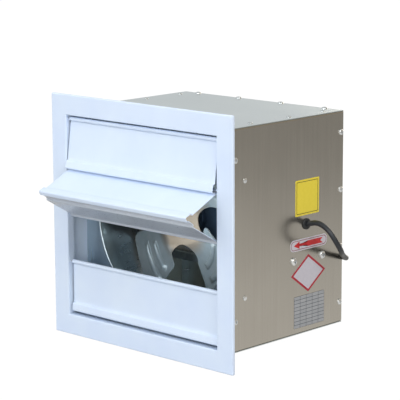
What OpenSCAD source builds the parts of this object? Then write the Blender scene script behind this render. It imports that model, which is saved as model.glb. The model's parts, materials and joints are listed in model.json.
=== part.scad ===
// Axial wall fan with four gravity louvres in a square stainless steel housing.
// The front is towards -Y, up is +Z, and all lengths are millimetres.
// The origin is the centre of the fan, in the plane of the wall that the front flange stands on.

/* [Front frame] */
// How far the front flange stands out round the housing
flange_overhang = 18.75; // [17:0.25:24]
// Depth of the folded edge that stands on the wall
flange_depth = 3; // [2.5:0.25:5]
// Width of the flange's face round the louvre opening
flange_border = 25.5; // [24.5:0.25:26.5]
// Sheet thickness of the front frame
flange_t = 1.2; // [1:0.1:1.5]
// Outside radius of the folds of the front frame
flange_fold_r = 1.6; // [1.6:0.1:2]
// Corner radius of the flange, seen from the front
flange_corner_r = 2.5; // [2:0.25:3]
// Depth of the inner lip that carries the louvre wires
lip_depth = 10; // [9.5:0.25:14]

/* [Louvres] */
// First hinge below the top of the opening
louvre_top_gap = 5; // [4.5:0.1:6]
// Room below the lowest louvre
louvre_bottom_gap = 7.2; // [6:0.1:9]
// Hinge line behind the face of the flange
hinge_depth = 6.5; // [6:0.25:7]
// Sheet thickness of a louvre
louvre_t = 0.8; // [0.6:0.1:1]
// Gap between each end of a louvre and the frame's lip
louvre_end_gap = 2.2; // [1:0.2:4]
// Outside radius of the rolled top edge
roll_r = 2.6; // [2.5:0.05:2.7]
// Radius of the hinge wire
wire_r = 1.5; // [1.2:0.05:1.6]
// Height of the bulged lower edge
bulge_h = 10.6; // [9.5:0.1:12]
// How far the lower edge bulges towards the front
bulge_d = 3.4; // [3:0.1:3.8]
// Opening angle of louvre 1, which rests on louvre 2
louvre_1_angle = 7.5; // [7:0.25:9]
// Opening angle of louvre 2, held up by louvre 3
louvre_2_angle = 64.5; // [64.5:0.25:66]
// Opening angle of louvre 3, raised under louvre 2
louvre_3_angle = 120; // [117:0.25:120]
// Opening angle of louvre 4, which hangs shut
louvre_4_angle = 0; // [0:0.25:5]

/* [Housing] */
// Outer width and height of the square housing
housing_w = 262.5; // [261:0.5:266]
// Room between the motor's rear end and the rear edge of the housing
motor_rear_room = 12.5; // [11:0.5:30]
// Sheet thickness of the housing
housing_t = 1; // [0.8:0.1:1.2]
// Width of the side panels' folds under the top and bottom panels
housing_fold_w = 22; // [20:1:26]
// Outside radius of the housing's folds
housing_fold_r = 1.5; // [1.5:0.1:2.5]
// Radius of the rivets' heads
rivet_head_r = 3; // [2.75:0.25:3.5]
// Radius of the heads of the small screws
screw_head_r = 3.6; // [3:0.2:4]

/* [Fan ring] */
// Front face of the ring plate behind the wall's face
ring_y = 34; // [30:0.5:36]
// Radius of the ring's throat
throat_r = 106.5; // [105.5:0.25:108]
// Length of the ring, front to rear
ring_len = 52; // [46:1:56]
// Radius of the ring's rounded mouth
mouth_r = 6; // [4:0.5:8]

/* [Impeller] */
// Tip radius of the impeller
tip_r = 103; // [99:0.5:104]
// Front face of the impeller's hub plate behind the wall's face
hub_y = 67; // [66:0.5:68]
// Sheet thickness of the impeller
impeller_t = 1.2; // [1:0.1:1.5]
// Tilt of the blades against the hub plate
blade_angle = 19.8; // [17:0.2:21]
// Turn of the first blade from +X towards +Z
blade_turn = 51; // [0:1:89]
// Distance of a blade's leading edge from its centre line
leading_w = 36; // [34:0.5:37]
// Angle of a blade's trailing edge from its centre line
trailing_angle = 33; // [32:0.5:34]
// Radius of the relief hole between two blades
relief_r = 16.5; // [16:0.25:17]
// Distance of the relief holes from the axis
relief_at = 46; // [45.5:0.25:47]
// How far the blades curve towards the rear
camber = 2.5; // [1:0.25:4]
// Height of the pressed ribs
rib_h = 1.8; // [1:0.1:2.4]

/* [Motor] */
// Radius of the motor's shell
motor_r = 46; // [45.5:0.25:46.5]
// Front of the motor behind the wall's face
motor_y = 97; // [96:0.5:98]
// Length of the motor without its front boss
motor_len = 106; // [104:1:107]
// Radius of the motor's shaft
shaft_r = 5; // [4.5:0.25:5.5]

/* [Motor bracket] */
// Room between the motor's shell and the top of the bracket's platform
motor_lift = 3; // [3:0.25:5]
// Width of the platform, front to rear
platform_w = 80; // [76:1:84]
// Sheet thickness of the bracket
bracket_t = 1.5; // [1.2:0.1:2]
// Distance between the two bracket screws of one side
bracket_pitch = 52.5; // [50:0.5:56]
// Radius of the bracket screws' threads
bracket_screw_r = 2.5; // [2.5:0.1:3]

/* [Rear guard] */
// Width of the rear plate between its round opening and the housing's sides
rear_border = 23.25; // [22.5:0.25:25]
// Radius of the guard's wire
guard_wire_r = 1.5; // [1.25:0.05:1.75]
// Number of rings in the guard
guard_rings = 5; // [4:1:6]

/* [Power lead] */
// Diameter of the power lead
lead_d = 6.5; // [6:0.1:6.6]
// Loops in each of the coil's two layers
layer_loops = 2.5; // [1.5:1:2.5]

/* [Hidden] */
$fn = 96;

// Colours
painted = "#dfe4ec";
stainless = "#9a9890";
stainless_light = "#c3cac8";
zinc = "#b9bcc0";
pressed = "#8b989c";
motor_black = "#1d2230";
core_steel = "#6f7276";
copper = "#b5713c";
rubber = "#202022";
nylon = "#e6e6e2";

// Overrun of every cut
cut = 1;
// Gap between sheets that slide into one another
sheet_gap = 0.05;
// Radial gap round wires, screws and rivets in their holes
hole_gap = 0.05;
// Radial gap of bearings and of what sits on the shaft
fit_gap = 0.02;
// Gap between soft pieces and what they lie beside
lay_gap = 0.4;

// Front frame
flange_w = housing_w + 2 * flange_overhang;
flange_half = flange_w / 2;
opening_half = flange_half - flange_border;
flange_y = -flange_depth;
flange_back_y = flange_y + flange_t;

// Louvres
louvre_pitch = (2 * opening_half - louvre_top_gap - louvre_bottom_gap) / 4;
louvre_tip_gap = 0.3;
louvre_len = louvre_pitch - louvre_tip_gap;
louvre_half = opening_half - louvre_end_gap;
bulge_r = 2.6;
bulge_flat = 1.4;
bulge_return = 3.4;
hinge_y = flange_y + hinge_depth;
wire_end = 1.5;
function hinge_z(k) = opening_half - louvre_top_gap - k * louvre_pitch;

// Housing: its depth reaches from the wall's face to its rear edge
housing_depth = motor_y + motor_len + motor_rear_room;
housing_half = housing_w / 2;
wall_in = housing_half - housing_t;
inner_half_w = wall_in - sheet_gap;
inner_half_h = wall_in - housing_t - sheet_gap;
tab_half = housing_half - housing_fold_w - 2 * sheet_gap;
collar_t = 0.8;
seam_inset = housing_fold_w / 2 + housing_fold_r;
rivet_shank_r = 1.6;
rivet_head_h = 1.3;
rivet_tail_h = 1.6;
screw_shank_r = 1.5;
screw_head_h = 2;
screw_len = 6;
rear_edge_inset = 4.5;
corner_row_inset = 26;
rear_fixing_shares = [-1, -1 / 3, 1 / 3, 1];
collar_screw_setback = 12.6;
collar_screw_inset = 37;

// Fan ring
ring_t = 1;
ring_flange_w = 12;
ring_rivet_z = 69;
mouth_y = ring_y + mouth_r;

// Impeller
blades = 4;
blade_half = 180 / blades;
blade_columns = 12;
hub_plate_r = relief_at - relief_r;
hub_step = 0.12;
hub_seam = 0.5;
twist_r = 50;
lobe_in = 39.6;
lobe_corner_r = 6;
tip_corner_r = 8;
trailing_root_angle = 30.5;
trailing_shares = [0.545, 0.825];
rib_w = 6;
rib_radii = [80, 63.5];
rib_angles = [[-24, 24], [-20, 25]];
rib_fade = 4;

// Hub
hub_flange_r = 21;
hub_flange_t = 3;
hub_boss_r = 12;
hub_boss_len = 17;
hub_chamfer = 1;
hub_pcd_r = 16.5;
hub_rivet_r = 2;
hub_rivet_head_r = 3.6;
hub_rivet_head_h = 1.6;
set_screw_r = 2.5;
set_screw_out = 1;
shaft_flat = 0.6;

// Motor
motor_end_y = motor_y + motor_len;
motor_mid_y = motor_y + motor_len / 2;
motor_wall = 2.5;
cover_len = 24;
cover_round = 3;
boss_len = 7;
boss_round = 1;
bearing_r = 13;
bearing_w = 8;
bearing_race = 2.4;
shaft_hole_gap = 0.8;
shaft_nose = 4;
stack_len = 48;
stack_gap = 0.05;
stack_wall = 17.95;
air_gap = 0.5;
rotor_r = motor_r - motor_wall - stack_gap - stack_wall - air_gap;
winding_len = 13;
winding_inset = 2.5;
ear_r = 4.5;
ear_len = 6;
ear_out = 4;
bolt_r = 2;
bolt_head_r = 3.5;
bolt_head_h = 3;
bolt_angle = 45;

// Foot and bracket
platform_z = -motor_r - motor_lift;
foot_half = 40;
foot_len = 44;
foot_t = 2.4;
cradle_half = 28;
foot_screw_x = 35;
foot_screw_inset = 8;
foot_screw_r = 2;
foot_screw_head_r = 3.8;
foot_screw_head_h = 2.6;
platform_setback = 0.25;
platform_mid_y = motor_mid_y + platform_setback;
platform_fold = 12;
platform_fold_r = 3;
platform_end_gap = 8;
bracket_up = 18;
bracket_screw_up = 8.5;
bracket_head_r = 4.65;
bracket_head_h = 3.4;
bracket_screw_len = 9;
nut_af_share = 1.85;
nut_h_share = 1.6;

// Capacitor
cap_x = 66;
cap_size = [40, 18, 26];
cap_round = 2;
cap_lug = 12;
cap_lug_t = 2;

// Rear plate and guard
rear_open_r = housing_half - rear_border;
rear_t = 1;
rear_flange_w = 12;
guard_ring_first = 24;
guard_overlap = 0.4;
guard_edge = 4;
guard_spokes = 8;
guard_spoke_y = housing_depth - rear_t - guard_wire_r;
guard_ring_y = guard_spoke_y - 2 * guard_wire_r + guard_overlap;
guard_r = rear_open_r + guard_edge;
guard_pitch = (guard_r - guard_ring_first) / (guard_rings - 1);
clip_t = 1.2;
clip_w = 12;
clip_reach = 5;
clip_foot = 12;
clip_turn = 22.5;

// Lead, grommet and plug
lead_r = lead_d / 2;
lead_exit = [147.3, 2];
grommet_r = 6.75;
grommet_groove_r = 5.4;
grommet_face_t = 2;
grommet_face_x = housing_half + grommet_face_t;
lead_sides = 10;
lead_join_gap = 1.2;
coil_sides = 6;
coil_steps = 24;
coil_centre = [45, -96];
coil_r = 45;
coil_gap = 0.7;
coil_pitch = lead_d + coil_gap;
coil_y = housing_depth + lay_gap + lead_r;
coil_start = [coil_centre[0] + lead_d, coil_y, coil_centre[1] + coil_r];
lead_route = [[139.5, 147.7, 3.8], [145.8, 148.3, 5], [152.2, 148.8, 4], [158.4, 149.4, 1.2], [164, 150.3, -3],
    [168.6, 152, -9.2], [171.4, 155.6, -17], [170.8, 162.4, -25], [166.4, 171, -31.4], [159.4, 180.4, -35.6],
    [152, 191.2, -40], [145.2, 203, -45.6], [137.9, 215.4, -50], [127.2, 223.4, -52], [114.8, 227.4, -52.9],
    [101.6, 228, -53], [88.6, 225.5, -52.3], [76, 221.9, -51.5], [63, 219.5, -51]];
tie_angle = 45;
tie_t = 1.2;
tie_w = 4;
tie_corner = 4;
tie_gap = 0.3;
plug_lead_len = 36;
relief_len = 12;
plug_len = 34;
plug_w = 26;
plug_th = 15;
plug_round = 6;
pin_r = 2;
pin_len = 19;
pin_pitch = 19;

// Points of an arc from angle a0 to a1 about the centre c
function arc(c, r, a0, a1, n = 6) =
    [for (i = [0:n]) let (a = a0 + (a1 - a0) * i / n) c + r * [cos(a), sin(a)]];
function mix(a, b, s) = a + (b - a) * s;
function clamp(v, lo, hi) = min(max(v, lo), hi);
function smooth(v) = let (s = clamp(v, 0, 1)) s * s * (3 - 2 * s);
function unit(v) = v / norm(v);

module box(lo, hi) translate(lo) cube(hi - lo);

module rod_x(r, x0, x1) translate([x0, 0, 0]) rotate([0, 90, 0]) cylinder(r = r, h = x1 - x0);

module rod_y(r, y0, y1) translate([0, y0, 0]) rotate([-90, 0, 0]) cylinder(r = r, h = y1 - y0);

// Turns a flat outline of X and Z into a plate between two depths
module plate_y(y0, y1) translate([0, y1, 0]) rotate([90, 0, 0]) linear_extrude(y1 - y0) children();

// Turns a flat outline of Y and Z into a bar between two places along X
module bar_x(x0, x1) translate([x0, 0, 0]) rotate([90, 0, 90]) linear_extrude(x1 - x0) children();

// Turns an outline of radius and depth about the fan's axis
module turned_y() rotate([-90, 0, 0]) rotate_extrude() children();

// A solid of joined rings, given as lists of points of equal length
module skin(rings)
{
    n = len(rings[0]);
    last = len(rings) - 1;
    sides = [for (i = [0:last - 1], j = [0:n - 1]) let (a = i * n + j, b = i * n + (j + 1) % n)
        each [[a, b, b + n], [a, b + n, a + n]]];
    first_end = [for (j = [1:n - 2]) [0, j + 1, j]];
    last_end = [for (j = [1:n - 2]) [last * n, last * n + j, last * n + j + 1]];
    polyhedron([for (ring = rings) each ring], concat(sides, first_end, last_end));
}

// Direction of a path at one of its points
function heading(path, i) = unit(path[min(i + 1, len(path) - 1)] - path[max(i - 1, 0)]);

// Rings of a round tube along a path that never runs along the axis named by up
function tube_rings(path, r, sides, up) = [for (i = [0:len(path) - 1])
    let (d = heading(path, i), u = unit(cross(d, up)), v = cross(d, u))
    [for (k = [0:sides - 1]) path[i] + r * (cos(360 * k / sides) * u + sin(360 * k / sides) * v)]];

// A screw or rivet along Z, its head's underside at zero
module headed(head_r, head_h, shank_r, length)
{
    edge_share = 0.4;
    rise = head_h * (1 - edge_share);
    rotate_extrude() polygon(concat([[0, 0], [head_r, 0]],
        [for (a = [0:15:90]) [head_r * cos(a), head_h * edge_share + rise * sin(a)]]));
    translate([0, 0, -length]) cylinder(r = shank_r, h = length + head_h * edge_share);
}

// A screw with a domed head and a cross recess
module pan_screw(head_r, head_h, shank_r, length)
{
    slot_len_share = 1.1;
    slot_w_share = 0.24;
    slot_deep_share = 1.1;
    slot = [head_r * slot_len_share, head_r * slot_w_share, head_h * slot_deep_share];
    difference()
    {
        headed(head_r, head_h, shank_r, length);
        for (a = [0, 90]) translate([0, 0, head_h]) rotate([0, 0, a]) cube(slot, true);
    }
}

// A blind rivet with its swollen tail
module rivet(head_r, head_h, shank_r, grip)
{
    tail_share = 1.35;
    headed(head_r, head_h, shank_r, grip + rivet_tail_h);
    translate([0, 0, -grip - rivet_tail_h]) cylinder(r = shank_r * tail_share, h = rivet_tail_h);
}

module on_right(y, z) translate([housing_half, y, z]) rotate([0, 90, 0]) children();
module on_sides(y, z) for (s = [0, 1]) mirror([s, 0, 0]) on_right(y, z) children();
module on_top(x, y) translate([x, y, housing_half]) children();
module top_and_bottom() for (s = [0, 1]) mirror([0, 0, s]) children();

// Places of the fixings in the housing
collar_screw_z = housing_half - collar_screw_inset;
collar_screw_y = ring_y - collar_screw_setback;
ring_rivet_y = ring_y + ring_flange_w / 3;
rear_screw_y = housing_depth - rear_edge_inset;
seam_x = housing_half - seam_inset;
seam_span_shares = [0.283, 0.597, 0.886];
bracket_end_z = platform_z + bracket_screw_up;
rear_row = housing_half - corner_row_inset;

module at_seam_rivets()
    for (s = [-1, 1], f = seam_span_shares) on_top(s * seam_x, f * housing_depth) children();
module at_ring_rivets() for (s = [-1, 1]) on_sides(ring_rivet_y, s * ring_rivet_z) children();
module at_collar_screws() for (s = [-1, 1]) on_sides(collar_screw_y, s * collar_screw_z) children();
module at_rear_side_screws() for (f = rear_fixing_shares) on_sides(rear_screw_y, f * rear_row) children();
module at_rear_top_screws() for (f = rear_fixing_shares) on_top(f * rear_row, rear_screw_y) children();
module at_bracket_screws()
    for (s = [-1, 1]) on_sides(platform_mid_y + s * bracket_pitch / 2, bracket_end_z) children();
module hole(r, depth) translate([0, 0, -depth]) cylinder(r = r + hole_gap, h = depth + cut);

// Section of the front frame: half width against depth
function frame_section() = let (r = flange_fold_r, t = flange_t, y = flange_y + flange_fold_r,
    ci = [opening_half + r, y], co = [flange_half - r, y], lip_y = flange_y + lip_depth)
    concat([[opening_half, lip_y]], arc(ci, r, 180, 270), arc(co, r, 270, 360), [[flange_half, 0],
    [flange_half - t, 0]], arc(co, r - t, 360, 270), arc(ci, r - t, 270, 180), [[opening_half + t, lip_y]]);

module mitred_side()
{
    intersection()
    {
        bar_x(-flange_half, flange_half) polygon([for (p = frame_section()) [p[1], p[0]]]);
        plate_y(flange_y - cut, lip_depth + cut)
            polygon([[0, 0], [flange_w, flange_w], [-flange_w, flange_w]]);
    }
}

module rounded_square(half, r)
{
    square([2 * half, 2 * (half - r)], true);
    square([2 * (half - r), 2 * half], true);
    for (x = [-1, 1], z = [-1, 1]) translate([x * (half - r), z * (half - r)]) circle(r);
}

module front_frame() color(painted)
{
    difference()
    {
        intersection()
        {
            union() for (a = [0:90:270]) rotate([0, a, 0]) mitred_side();
            plate_y(flange_y - cut, lip_depth + cut) rounded_square(flange_half, flange_corner_r);
        }
        for (k = [0:3]) translate([0, hinge_y, hinge_z(k)])
            rod_x(wire_r + hole_gap, -flange_half, flange_half);
    }
}

module frame_collar() color(painted)
{
    difference()
    {
        plate_y(flange_back_y, ring_y) difference()
        {
            square([2 * inner_half_w, 2 * inner_half_h], true);
            square([2 * (inner_half_w - collar_t), 2 * (inner_half_h - collar_t)], true);
        }
        at_collar_screws() hole(screw_shank_r, screw_len);
    }
}

// Middle line of a louvre's sheet: distance below the hinge against distance in front of it
function louvre_line() = let (back = -louvre_t / 2, out = back + bulge_d, top = louvre_len - bulge_h,
    flat = louvre_len - bulge_r - bulge_flat, steps = 8)
    concat([[0, back]], [for (i = [0:steps]) [mix(top, flat, i / steps), mix(back, out, smooth(i / steps))]],
    arc([louvre_len - bulge_r, out - bulge_r], bulge_r, 90, 0), [[louvre_len, out - bulge_r - bulge_return]]);

// Outline of a sheet of thickness t about its middle line
function sheet_outline(line, t) = let (n = len(line) - 1,
    side = [for (i = [0:n]) let (d = unit(line[min(i + 1, n)] - line[max(i - 1, 0)])) t / 2 * [-d[1], d[0]]])
    concat([for (i = [0:n]) line[i] + side[i]], [for (i = [n:-1:0]) line[i] - side[i]]);

module louvre(k, angle) color(painted)
{
    translate([0, hinge_y, hinge_z(k)]) rotate([-angle, 0, 0])
        bar_x(-louvre_half, louvre_half) difference()
        {
            union()
            {
                circle(roll_r);
                polygon([for (p = sheet_outline(louvre_line(), louvre_t)) [-p[1], -p[0]]]);
            }
            circle(wire_r + hole_gap);
        }
}

module louvre_1() louvre(0, louvre_1_angle);
module louvre_2() louvre(1, louvre_2_angle);
module louvre_3() louvre(2, louvre_3_angle);
module louvre_4() louvre(3, louvre_4_angle);

module louvre_wires() color(zinc)
{
    reach = opening_half + flange_t + wire_end;
    for (k = [0:3]) translate([0, hinge_y, hinge_z(k)]) rod_x(wire_r, -reach, reach);
}

// Section of the right side panel with its folds
function side_section() = let (h = wall_in, w = housing_half, r = housing_fold_r, t = housing_t,
    end = housing_half - housing_fold_w, top = [w - r, h - r], low = [w - r, r - h])
    concat([[end, h]], arc(top, r, 90, 0), arc(low, r, 0, -90), [[end, -h], [end, t - h]],
    arc(low, r - t, -90, 0), arc(top, r - t, 0, 90), [[end, h - t]]);

module side_panel()
{
    difference()
    {
        plate_y(flange_back_y, housing_depth) polygon(side_section());
        at_ring_rivets() hole(rivet_shank_r, screw_len);
        at_collar_screws() hole(screw_shank_r, screw_len);
        at_rear_side_screws() hole(screw_shank_r, screw_len);
        at_bracket_screws() hole(bracket_screw_r, screw_len);
        top_and_bottom() at_seam_rivets() hole(rivet_shank_r, screw_len);
    }
}

module housing_right() color(stainless)
{
    difference()
    {
        side_panel();
        on_right(lead_exit[0], lead_exit[1]) hole(grommet_groove_r, screw_len);
    }
}

module housing_left() color(stainless) mirror([1, 0, 0]) side_panel();

module cover_panel()
{
    difference()
    {
        box([-housing_half, flange_back_y, wall_in], [housing_half, housing_depth, housing_half]);
        at_seam_rivets() hole(rivet_shank_r, screw_len);
        at_rear_top_screws() hole(screw_shank_r, screw_len);
    }
}

module housing_top() color(stainless_light) cover_panel();
module housing_bottom() color(stainless) mirror([0, 0, 1]) cover_panel();

module housing_rivets() color(zinc)
    top_and_bottom() at_seam_rivets() rivet(rivet_head_r, rivet_head_h, rivet_shank_r, 2 * housing_t);

module collar_screws() color(zinc)
    at_collar_screws() pan_screw(screw_head_r, screw_head_h, screw_shank_r, screw_len);

module ring_rivets() color(zinc)
    at_ring_rivets() rivet(rivet_head_r, rivet_head_h, rivet_shank_r, housing_t + sheet_gap + ring_t);

// Section of the ring: plate, rounded mouth and tube
function ring_section() = let (c = [throat_r + mouth_r, mouth_y], rim = throat_r + mouth_r + 2 * ring_t)
    concat([[rim, ring_y]], arc(c, mouth_r, 270, 180, 12),
    [[throat_r, ring_y + ring_len], [throat_r + ring_t, ring_y + ring_len]],
    arc(c, mouth_r - ring_t, 180, 270, 12), [[rim, ring_y + ring_t]]);

module fan_ring() color(stainless_light)
{
    plate_hole_r = throat_r + mouth_r + ring_t;
    difference()
    {
        union()
        {
            plate_y(ring_y, ring_y + ring_flange_w) difference()
            {
                square([2 * inner_half_w, 2 * inner_half_h], true);
                square([2 * (inner_half_w - ring_t), 2 * (inner_half_h - ring_t)], true);
            }
            plate_y(ring_y, ring_y + ring_t) difference()
            {
                square([2 * inner_half_w, 2 * inner_half_h], true);
                circle(plate_hole_r);
            }
            turned_y() polygon(ring_section());
        }
        at_ring_rivets() hole(rivet_shank_r, screw_len);
    }
}

// Half angle at which a relief hole cuts a circle about the axis
function relief_edge(r) = blade_half - acos(clamp((r * r + relief_at * relief_at - relief_r * relief_r)
    / (2 * relief_at * r), -1, 1));
// Rounded corner between the relief hole and the leading edge
lobe_c = [lobe_in + lobe_corner_r, leading_w - lobe_corner_r];
lobe_c_r = norm(lobe_c);
lobe_start_r = norm([lobe_in, lobe_c[1]]);
lobe_end_r = norm([lobe_c[0], leading_w]);
// Angle of the rounded corner between the relief hole and the straight leading edge
function lobe_edge(r) = atan2(lobe_c[1], lobe_c[0])
    + acos(clamp((r * r + lobe_c_r * lobe_c_r - lobe_corner_r * lobe_corner_r) / (2 * r * lobe_c_r), -1, 1));
// Angle that the rounding of a tip corner takes off
function tip_trim(r) = let (in = max(r - (tip_r - tip_corner_r), 0))
    (tip_corner_r - sqrt(max(tip_corner_r * tip_corner_r - in * in, 0))) / r * 180 / PI;
function leading_edge(r) = r < hub_plate_r ? blade_half - hub_seam
    : r < lobe_start_r ? max(min(relief_edge(r), blade_half - hub_seam), acos(min(lobe_in / r, 1)))
    : r < lobe_end_r ? lobe_edge(r) : asin(leading_w / r) - tip_trim(r);
function trailing_edge(r) = let (open = min(relief_edge(r), blade_half - hub_seam),
    s = (r / tip_r - trailing_shares[0]) / (trailing_shares[1] - trailing_shares[0]),
    straight = mix(trailing_root_angle, trailing_angle, clamp(s, 0, 1)))
    -(r < relief_at ? open : min(open, straight)) + tip_trim(r);
// Height of the pressed ribs, which run as arcs about the axis
function rib_height(r, a) = rib_h * max([for (k = [0, 1])
    let (across = abs(r - rib_radii[k]) / (rib_w / 2), span = rib_angles[k],
    ends = min(a - span[0], span[1] - a) / rib_fade) smooth(1 - across) * smooth(ends)]);
// How far the tilt has come in, from the flat hub plate outwards
function twist(r) = smooth((r - hub_plate_r) / (twist_r - hub_plate_r));
// Depth of a blade's front face at radius r, angle a and share s across the blade
function blade_y(r, a, s) = hub_y - tan(blade_angle) * twist(r) * r * sin(a)
    + 4 * camber * twist(r) * s * (1 - s) - rib_height(r, a);
// A blade is thinner by this much on each face where it lies inside the hub plate
function hub_inset(r) = hub_step * (1 - smooth((r - hub_plate_r) / relief_r));
function polar(r, a, y) = [r * cos(a), y, r * sin(a)];

// Radii of a blade's rings, close together where the outline or a rib turns
rib_step_shares = [-1, -0.5, 0, 0.5, 1];
tip_start_share = 1.6;
relief_steps = 7;
lobe_steps = 6;
function rib_rings(k) = [for (s = rib_step_shares) rib_radii[k] + s * rib_w / 2];
blade_radii = concat([hub_plate_r - impeller_t],
    [for (i = [1:relief_steps]) hub_plate_r + relief_r * pow(i / relief_steps, 2)],
    [for (i = [1:lobe_steps]) mix(relief_at, lobe_end_r, i / lobe_steps)],
    rib_rings(1), [(rib_radii[0] + rib_radii[1]) / 2], rib_rings(0),
    [tip_r - tip_start_share * tip_corner_r],
    [for (a = [0:22.5:90]) tip_r - tip_corner_r * (1 - sin(a))]);

// One ring across the sheet: the front face from trailing to leading edge, then the rear face back
function blade_ring(r) =
    let (a0 = trailing_edge(r), a1 = leading_edge(r), in = hub_inset(r), n = blade_columns)
    concat([for (i = [0:n]) let (s = i / n, a = mix(a0, a1, s)) polar(r, a, blade_y(r, a, s) + in)],
    [for (i = [n:-1:0]) let (s = i / n, a = mix(a0, a1, s))
        polar(r, a, blade_y(r, a, s) + impeller_t - in)]);

module blade()
{
    rings = [for (r = blade_radii) blade_ring(r)];
    n = 2 * (blade_columns + 1);
    last = len(rings) - 1;
    sides = [for (i = [0:last - 1], j = [0:n - 1]) let (a = i * n + j, b = i * n + (j + 1) % n)
        each [[a, b, b + n], [a, b + n, a + n]]];
    caps = [for (end = [0, last], j = [0:blade_columns - 1]) let (a = end * n + j, b = end * n + n - 1 - j,
        q = [[a, b, b - 1], [a, b - 1, a + 1]]) each (end == 0 ? q : [for (f = q) [f[0], f[2], f[1]]])];
    polyhedron([for (ring = rings) each ring], concat(sides, caps));
}

module impeller() color(pressed)
{
    difference()
    {
        union()
        {
            rod_y(hub_plate_r, hub_y, hub_y + impeller_t);
            for (k = [0:blades - 1]) rotate([0, -blade_turn - 2 * blade_half * k, 0]) blade();
        }
        rod_y(shaft_r + shaft_hole_gap, hub_y - cut, hub_y + impeller_t + cut);
        at_hub_rivets() rod_y(hub_rivet_r + hole_gap, hub_y - cut, hub_y + impeller_t + cut);
    }
}

module at_hub_rivets()
    for (k = [0:3]) rotate([0, 90 * k - blade_turn, 0]) translate([hub_pcd_r, 0, 0]) children();

hub_back_y = hub_y + impeller_t;
hub_flange_y = hub_back_y + hub_flange_t;
set_screw_y = hub_flange_y + (hub_boss_len - hub_flange_t) / 2;

module impeller_hub() color(zinc)
{
    c = hub_chamfer;
    end_y = hub_back_y + hub_boss_len;
    difference()
    {
        turned_y() polygon([[0, hub_back_y], [hub_flange_r, hub_back_y], [hub_flange_r, hub_flange_y - c],
            [hub_flange_r - c, hub_flange_y], [hub_boss_r, hub_flange_y], [hub_boss_r, end_y - c],
            [hub_boss_r - c, end_y], [0, end_y]]);
        rod_y(shaft_r + fit_gap, hub_back_y - cut, end_y + cut);
        at_hub_rivets() rod_y(hub_rivet_r + hole_gap, hub_back_y - cut, hub_flange_y + cut);
        translate([0, set_screw_y, 0]) cylinder(r = set_screw_r + hole_gap, h = hub_boss_r + cut);
    }
}

module hub_rivets() color(zinc)
{
    grip = impeller_t + hub_flange_t;
    at_hub_rivets() translate([0, hub_y, 0]) rotate([90, 0, 0])
    {
        headed(hub_rivet_head_r, hub_rivet_head_h, hub_rivet_r, grip);
        translate([0, 0, -grip - hub_rivet_head_h]) cylinder(r = hub_rivet_head_r, h = hub_rivet_head_h);
    }
}

module hub_set_screw() color(motor_black)
{
    seat = shaft_r - shaft_flat + fit_gap;
    socket_share = 0.5;
    translate([0, set_screw_y, seat]) difference()
    {
        cylinder(r = set_screw_r, h = hub_boss_r + set_screw_out - seat);
        translate([0, 0, (hub_boss_r - seat) * socket_share])
            cylinder(r = set_screw_r * socket_share, h = hub_boss_r, $fn = 6);
    }
}

rear_bearing_y = motor_end_y - motor_wall - bearing_w;
front_bearing_y = motor_y - boss_len + motor_wall;
stack_y = motor_mid_y - stack_len / 2;

module motor_shaft() color(zinc)
{
    difference()
    {
        rod_y(shaft_r, hub_y - shaft_nose, motor_end_y - motor_wall - shaft_hole_gap);
        box([-shaft_r, hub_y - shaft_nose - cut, shaft_r - shaft_flat],
            [shaft_r, hub_back_y + hub_boss_len, shaft_r + cut]);
    }
}

module rotor_core() color(core_steel)
{
    cage_share = 0.8;
    cage_len = winding_len / 3;
    difference()
    {
        union()
        {
            rod_y(rotor_r, stack_y, stack_y + stack_len);
            rod_y(rotor_r * cage_share, stack_y - cage_len, stack_y + stack_len + cage_len);
        }
        rod_y(shaft_r + fit_gap, stack_y - cage_len - cut, stack_y + stack_len + cage_len + cut);
    }
}

module stator_core() color(core_steel)
{
    difference()
    {
        rod_y(motor_r - motor_wall - stack_gap, stack_y, stack_y + stack_len);
        rod_y(rotor_r + air_gap, stack_y - cut, stack_y + stack_len + cut);
    }
}

module stator_windings() color(copper)
{
    inner = rotor_r + air_gap + winding_inset;
    outer = motor_r - motor_wall - winding_inset;
    r = (outer - inner) / 4;
    for (s = [0, 1]) translate([0, motor_mid_y, 0]) mirror([0, s, 0])
        turned_y() polygon(concat([[inner, stack_len / 2], [outer, stack_len / 2]],
        arc([outer - r, stack_len / 2 + winding_len - r], r, 0, 90),
        arc([inner + r, stack_len / 2 + winding_len - r], r, 90, 180)));
}

module motor_shell() color(motor_black)
{
    difference()
    {
        rod_y(motor_r, motor_y + cover_len, motor_end_y - cover_len);
        rod_y(motor_r - motor_wall, motor_y + cover_len - cut, motor_end_y - cover_len + cut);
        translate([0, lead_exit[0], lead_exit[1]]) rod_x(lead_r + hole_gap, 0, motor_r + cut);
    }
}

module at_bolts()
    for (k = [0:3]) rotate([0, bolt_angle + 90 * k, 0]) translate([motor_r + ear_out, 0, 0]) children();

// Ears for the through bolts, at the open end of a cover
module ears(y0, y1)
{
    at_bolts() rod_y(ear_r, y0, y1);
    for (k = [0:3]) rotate([0, bolt_angle + 90 * k, 0])
        box([motor_r - motor_wall / 2, y0, -ear_r], [motor_r + ear_out, y1, ear_r]);
}

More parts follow.
